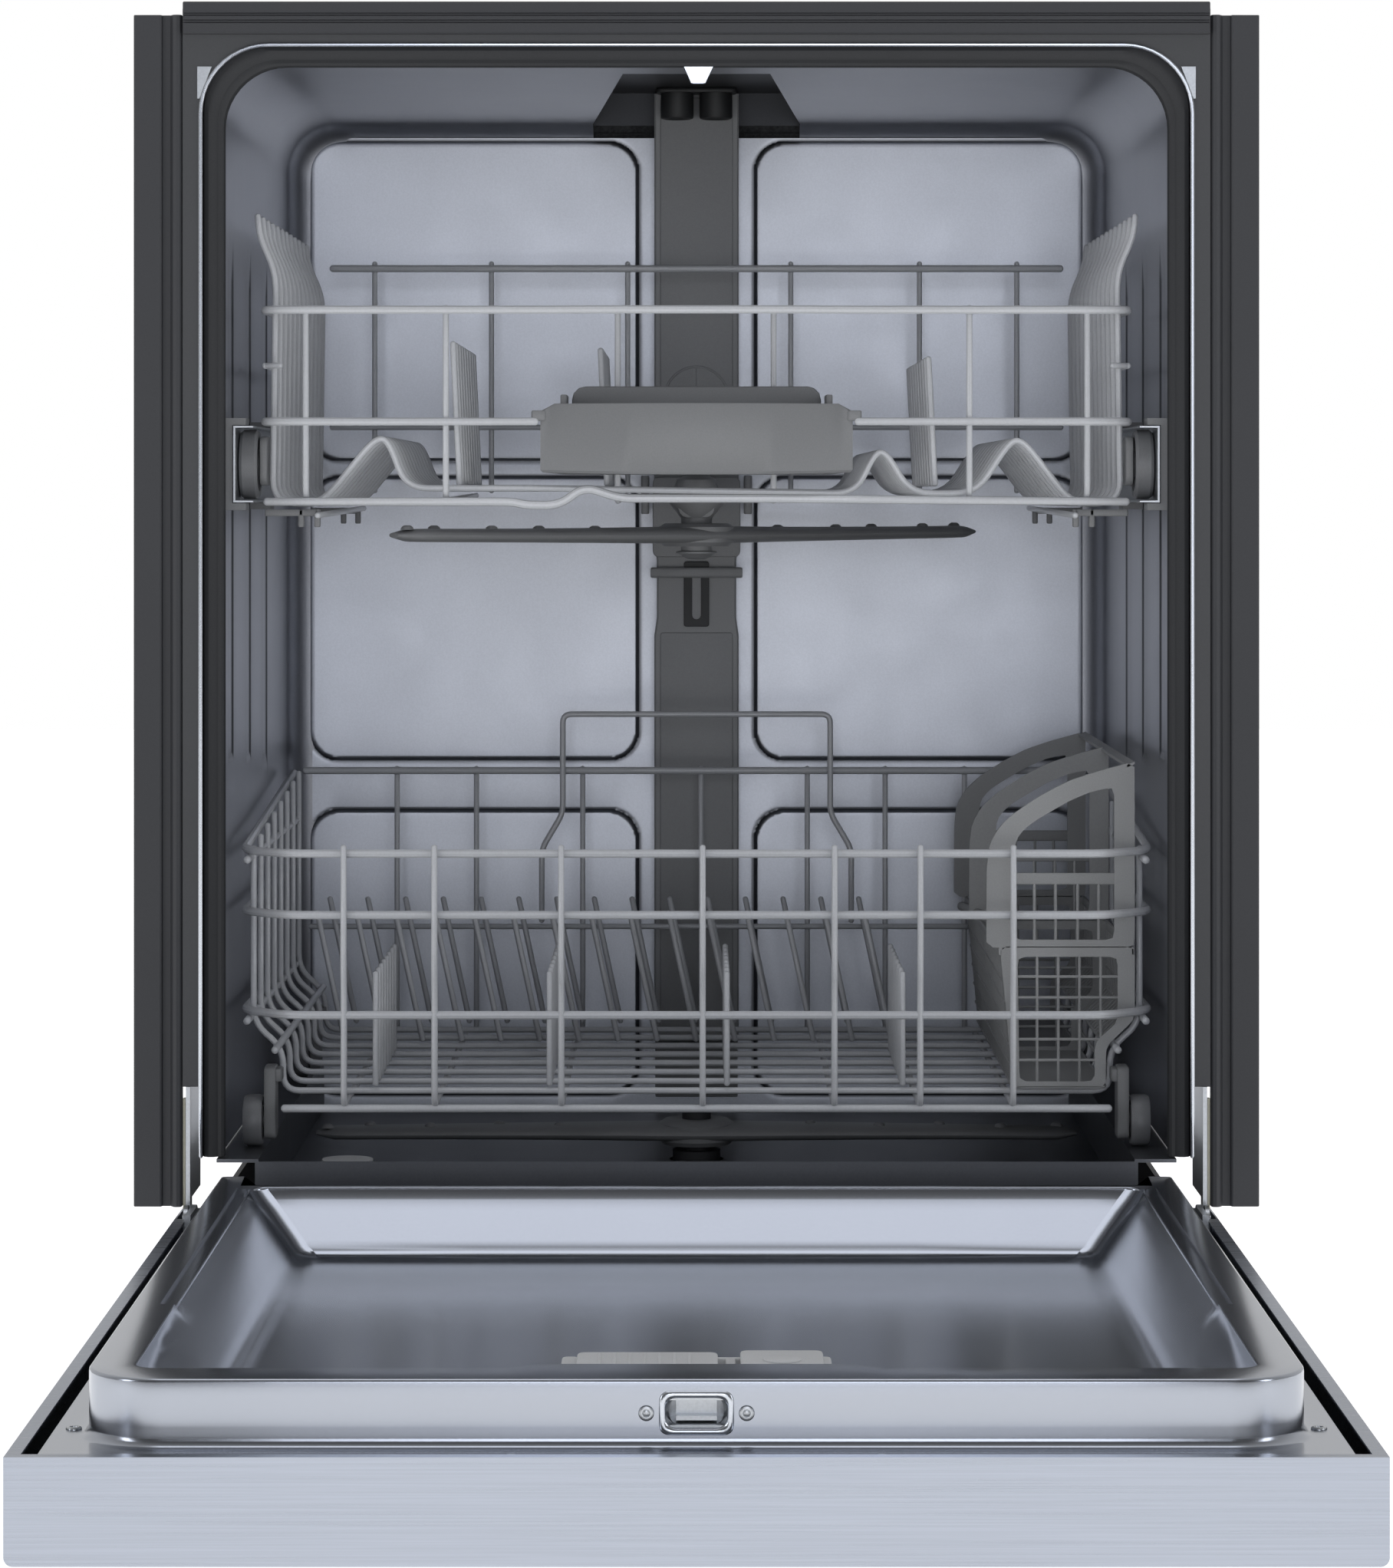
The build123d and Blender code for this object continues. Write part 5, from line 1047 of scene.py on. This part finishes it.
lower = blades((0, low_y, low_z), 0.2385, 0, root=0.026, tip=0.015, droop=0.0012)
lower += [turned([(0.0095, -0.0078), (0.0210, -0.0078), (0.0238, -0.0050), (0.0238, 0.0050),
                  (0.0195, 0.0078), (0.0095, 0.0078)], (0, low_y, low_z), sides=40)]
lower_arm = piece_of("lower_arm_shells", lower, arm_plastic)
fit(lower_arm, "lower_spray_arm", "dark_plastic", "lower_spray_arm")

# ------------------------------------------------------------------------------------------
# Lower rack: the same coated wire. Three loops with chamfered front corners, eight U wires
# that step in at the foot, front and back uprights, a raised bail and two kinds of tines.
# ------------------------------------------------------------------------------------------
low_y0, low_y1 = front_y + 0.033, front_y + 0.430
loop_x, chamfer_x, foot_x = 0.267, 0.2385, 0.245
loops = []
for level, rear in ((0.3654, 0.3910), (0.3295, 0.3295), (0.2710, 0.2710)):
    loops.append(round_wire(bent_path([
        (-loop_x, low_y1 - 0.020, rear), (-loop_x, low_y0 + 0.028, level), (-chamfer_x, low_y0, level),
        (chamfer_x, low_y0, level), (loop_x, low_y0 + 0.028, level), (loop_x, low_y1 - 0.020, rear)],
        0.014), thick))
for side in (-1, 1):
    loops += [round_wire([(side * x, low_y0 + 0.012, z), (side * x, low_y1 - 0.020, z)], 0.0024)
              for x, z in ((0.2640, 0.3605), (0.2640, 0.2660), (0.2475, 0.2490))]
loops += [round_wire([(-0.263, low_y1, 0.391), (0.263, low_y1, 0.391)], thick),
          round_wire([(-0.259, low_y1, 0.287), (0.259, low_y1, 0.287)], thin),
          round_wire([(-0.2433, low_y0 + 0.004, 0.216), (0.2433, low_y0 + 0.004, 0.216)], thick)]
for x in (-0.206, -0.153, -0.079, 0.0036, 0.0806, 0.1307, 0.185):
    loops.append(round_wire(bent_path([(x, low_y0 - 0.004, 0.371), (x, low_y0 - 0.004, 0.300),
                                       (x, low_y0 - 0.001, 0.285), (x, low_y0 - 0.001, 0.218),
                                       (x, low_y1, 0.218)]), thin))
for x in (-0.200, -0.147, -0.076, 0.003, 0.074, 0.126, 0.179):
    loops.append(round_wire([(x, low_y1 + 0.004, 0.218), (x, low_y1 + 0.004, 0.394)], thin))
for index in range(8):
    y = low_y0 + 0.040 + index * 0.046
    top = 0.3674 + 0.0256 * index / 7
    loops.append(round_wire(bent_path([(-0.2625, y, top), (-0.2625, y, 0.262), (-foot_x, y, 0.247),
                                       (-foot_x, y, 0.222), (foot_x, y, 0.222), (foot_x, y, 0.247),
                                       (0.2625, y, 0.262), (0.2625, y, top)], 0.010), thin))
bail_y = low_y1 - 0.008
bail = [(-0.103, bail_y, 0.290), (-0.103, bail_y, 0.3395), (-0.089, bail_y, 0.363),
        (-0.089, bail_y, 0.429), (0.089, bail_y, 0.429), (0.089, bail_y, 0.363),
        (0.103, bail_y, 0.3395), (0.103, bail_y, 0.290)]
loops.append(round_wire(bent_path(bail, 0.006), thin))
lower_rack = piece_of("lower_rack_wirework", loops, coating)
fit(lower_rack, "lower_rack", "rack_coating", "lower_rack_wires")
stems = [round_wire([(-0.225 + 0.025 * k, y, 0.225), (-0.243 + 0.025 * k, y, 0.309)], thin)
         for y in (low_y1 - 0.130, low_y1 - 0.023) for k in range(15)]
stems += [round_wire([(x, front_y + 0.070 + 0.0245 * k, 0.225),
                      (x, front_y + 0.072 + 0.0245 * k, 0.293)], thin)
          for x in (-0.190, -0.087, 0.018, 0.122) for k in range(8)]
plate_tines = piece_of("lower_rack_plate_tines", stems, coating)
fit(plate_tines, "lower_rack", "rack_coating", "lower_rack_tines")
lower_axles = (front_y + 0.058, front_y + 0.392)
for name, y in zip(("lower_front_wheels", "lower_rear_wheels"), lower_axles):
    pair = piece_of(name + "_rollers", mirror([tyre(0.2552, y, 0.2067, 0.015, 0.0113)]), acetal)
    fit(pair, name, "grey_plastic", name)
feet_clips = []
for y in lower_axles:
    feet_clips += [soft_block((0.2474, y - 0.0105, 0.1965), (0.2542, y + 0.0105, 0.2390), 0.004, 0.001,
                              axis=0),
                   soft_block((0.2440, y - 0.008, 0.2300), (0.2500, y + 0.008, 0.2375), 0.002),
                   turned([(0.0005, 0), (0.0036, 0), (0.0039, 0.001), (0.0039, 0.0150),
                           (0.0005, 0.0156)], (0.2500, y, 0.2067), 0)]
wheel_clips = piece_of("lower_wheel_clips", mirror(feet_clips), grip_plastic)
fit(wheel_clips, "lower_rack", "grey_plastic", "wheel_brackets")

# ------------------------------------------------------------------------------------------
# Cutlery basket: thin polypropylene mesh walls round two cells, and three arched plates
# with a window that serve as its handles.
# ------------------------------------------------------------------------------------------
basket_plastic = grained("polypropylene_basket", "9C9D9D", 0.5, 0.0009, 0.00003)
bask_y0, bask_y1 = low_y0 + 0.027, low_y1 - 0.012
cell = (bask_y1 - bask_y0 - 0.0024) / 2
outer_arch = [(0.1710, 0.308), (0.1712, 0.355), (0.1728, 0.369), (0.1786, 0.379), (0.187, 0.387),
              (0.2036, 0.398), (0.220, 0.4065), (0.237, 0.412), (0.2585, 0.4178), (0.2585, 0.308)]
inner_arch = [(0.1870, 0.3125), (0.1872, 0.358), (0.1885, 0.372), (0.1945, 0.379), (0.2036, 0.385),
              (0.220, 0.3945), (0.233, 0.400), (0.2465, 0.4028), (0.2465, 0.360), (0.2465, 0.3125)]


def windowed(outer, inner, y, thick_y):
    """A plate with a window: rings of equal point counts run round both faces and edges."""
    def even(points, count=64):
        loop = bent_path(points, 0.004, closed=True)
        run = np.linalg.norm(np.roll(loop, -1, 0) - loop, axis=1)
        at = np.concatenate([[0], np.cumsum(run)])
        wanted = np.linspace(0, at[-1], count, endpoint=False)
        ring = np.vstack([loop, loop[:1]])
        return np.column_stack([np.interp(wanted, at, ring[:, 0]), np.interp(wanted, at, ring[:, 1])])

    a, b = even(outer), even(inner)
    stack = [np.column_stack([loop[:, 0], np.full(64, place), loop[:, 1]])
             for loop, place in ((a, y), (a, y + thick_y), (b, y + thick_y), (b, y))]
    return skin(stack, wrap=True)


basket = []
for k in range(3):
    y = bask_y0 + k * cell
    basket.append(windowed(outer_arch, inner_arch, y, 0.0024))
    basket.append(soft_block((0.186, y + 0.0002, 0.345), (0.248, y + 0.0022, 0.352), 0.0009, axis=0))
    basket += [soft_block((x - 0.0009, y + 0.0003, 0.309), (x + 0.0009, y + 0.0021, 0.347), 0.0008)
               for x in (0.1994, 0.2119, 0.2249, 0.2373)]
    # Mesh of the end walls: a frame that narrows to the foot, with bars 12.4 mm apart.
    frame_line = [(0.1790, 0.3085), (0.1870, 0.2250), (0.2415, 0.2250), (0.2415, 0.2495),
                  (0.2585, 0.2655), (0.2585, 0.3085)]
    hole_line = [(0.1895, 0.3025), (0.1905, 0.2290), (0.2350, 0.2290), (0.2350, 0.2520),
                 (0.2485, 0.2640), (0.2485, 0.3025)]
    basket.append(windowed(frame_line, hole_line, y, 0.0022))
    basket += [soft_block((x - 0.0009, y + 0.0003, 0.2270), (x + 0.0009, y + 0.0020, 0.3055), 0.0008)
               for x in (0.2010, 0.2135, 0.2260)]
    basket += [soft_block((0.2376, y + 0.0003, 0.2520), (0.2394, y + 0.0020, 0.3055), 0.0008)]
    basket += [soft_block((0.1885, y + 0.0003, z - 0.0009), (right, y + 0.0020, z + 0.0009), 0.0008,
                          axis=0)
               for z, right in ((0.2415, 0.237), (0.2538, 0.238), (0.2661, 0.2505), (0.2784, 0.2505),
                                (0.2907, 0.2505))]
ys = np.arange(bask_y0 + 0.008, bask_y1 - 0.006, 0.0124)
basket += [round_wire([(0.1798, y, 0.3065), (0.1870, y, 0.2262)], 0.0010, 6) for y in ys]
basket += [round_wire([(0.2572, y, 0.3065), (0.2572, y, 0.2672), (0.2410, y, 0.2510)], 0.0010, 6)
           for y in ys]
basket += [round_wire([(x, bask_y0 + 0.001, z), (x, bask_y1 - 0.001, z)], 0.0011, 6)
           for x, z in ((0.1870, 0.226), (0.1858, 0.2385), (0.1847, 0.251), (0.1836, 0.2635),
                        (0.1824, 0.276), (0.1812, 0.2885), (0.2410, 0.226), (0.2410, 0.2385),
                        (0.2410, 0.2505), (0.2572, 0.267), (0.2572, 0.280), (0.2572, 0.293))]
basket += [soft_block((0.1780, bask_y0, 0.3030), (0.1806, bask_y1, 0.3085), 0.0010, axis=1),
           soft_block((0.2562, bask_y0, 0.3030), (0.2586, bask_y1, 0.3085), 0.0010, axis=1),
           soft_block((0.1870, bask_y0, 0.2250), (0.2412, bask_y1, 0.2266), 0.0007, axis=1),
           prism([(0.2540, 0.4160), (0.2586, 0.4176), (0.2586, 0.4160), (0.2540, 0.4142)], bask_y0,
                 bask_y1, axis=1, edge=0.0002)]
basket += [turned([(0.0004, -0.0035), (0.0026, -0.003), (0.0030, -0.001), (0.0030, 0.001),
                   (0.0026, 0.003), (0.0004, 0.0035)], (0.1760, y, 0.3235 - 0.02 * k / 28), 1, 12)
           for k, y in enumerate(np.arange(bask_y0 + 0.006, bask_y1 - 0.006, 0.0115))]
cutlery = piece_of("cutlery_basket_mesh", basket, basket_plastic, crease=30)
fit(cutlery, "silverware_basket", "basket_plastic", "silverware_basket")

# ------------------------------------------------------------------------------------------
# Base: pumps, valve, box and feet are seen only from below and behind, and keep their plain
# moulded or turned shapes, each with the finish of its own material.
# ------------------------------------------------------------------------------------------
dress(grained("polypropylene_base", "2E2F31", 0.6, 0.0012, 0.00005), "base_pan", "sump",
      "junction_box")
dress(grained("glass_filled_nylon_dark", "38393B", 0.5, 0.0008, 0.00003), "circulation_pump",
      "drain_pump", "inlet_valve")
dress(grained("etched_filter_steel", "7C7E82", 0.42, 0.0016, 0.00006, mottle=0.2, metallic=1.0),
      "filter_plate")
dress(grained("expanded_polystyrene", "B9BABB", 0.8, 0.003, 0.00012), "overfill_float")
dress(zinc, "front_foot_left", "front_foot_right", "rear_foot")
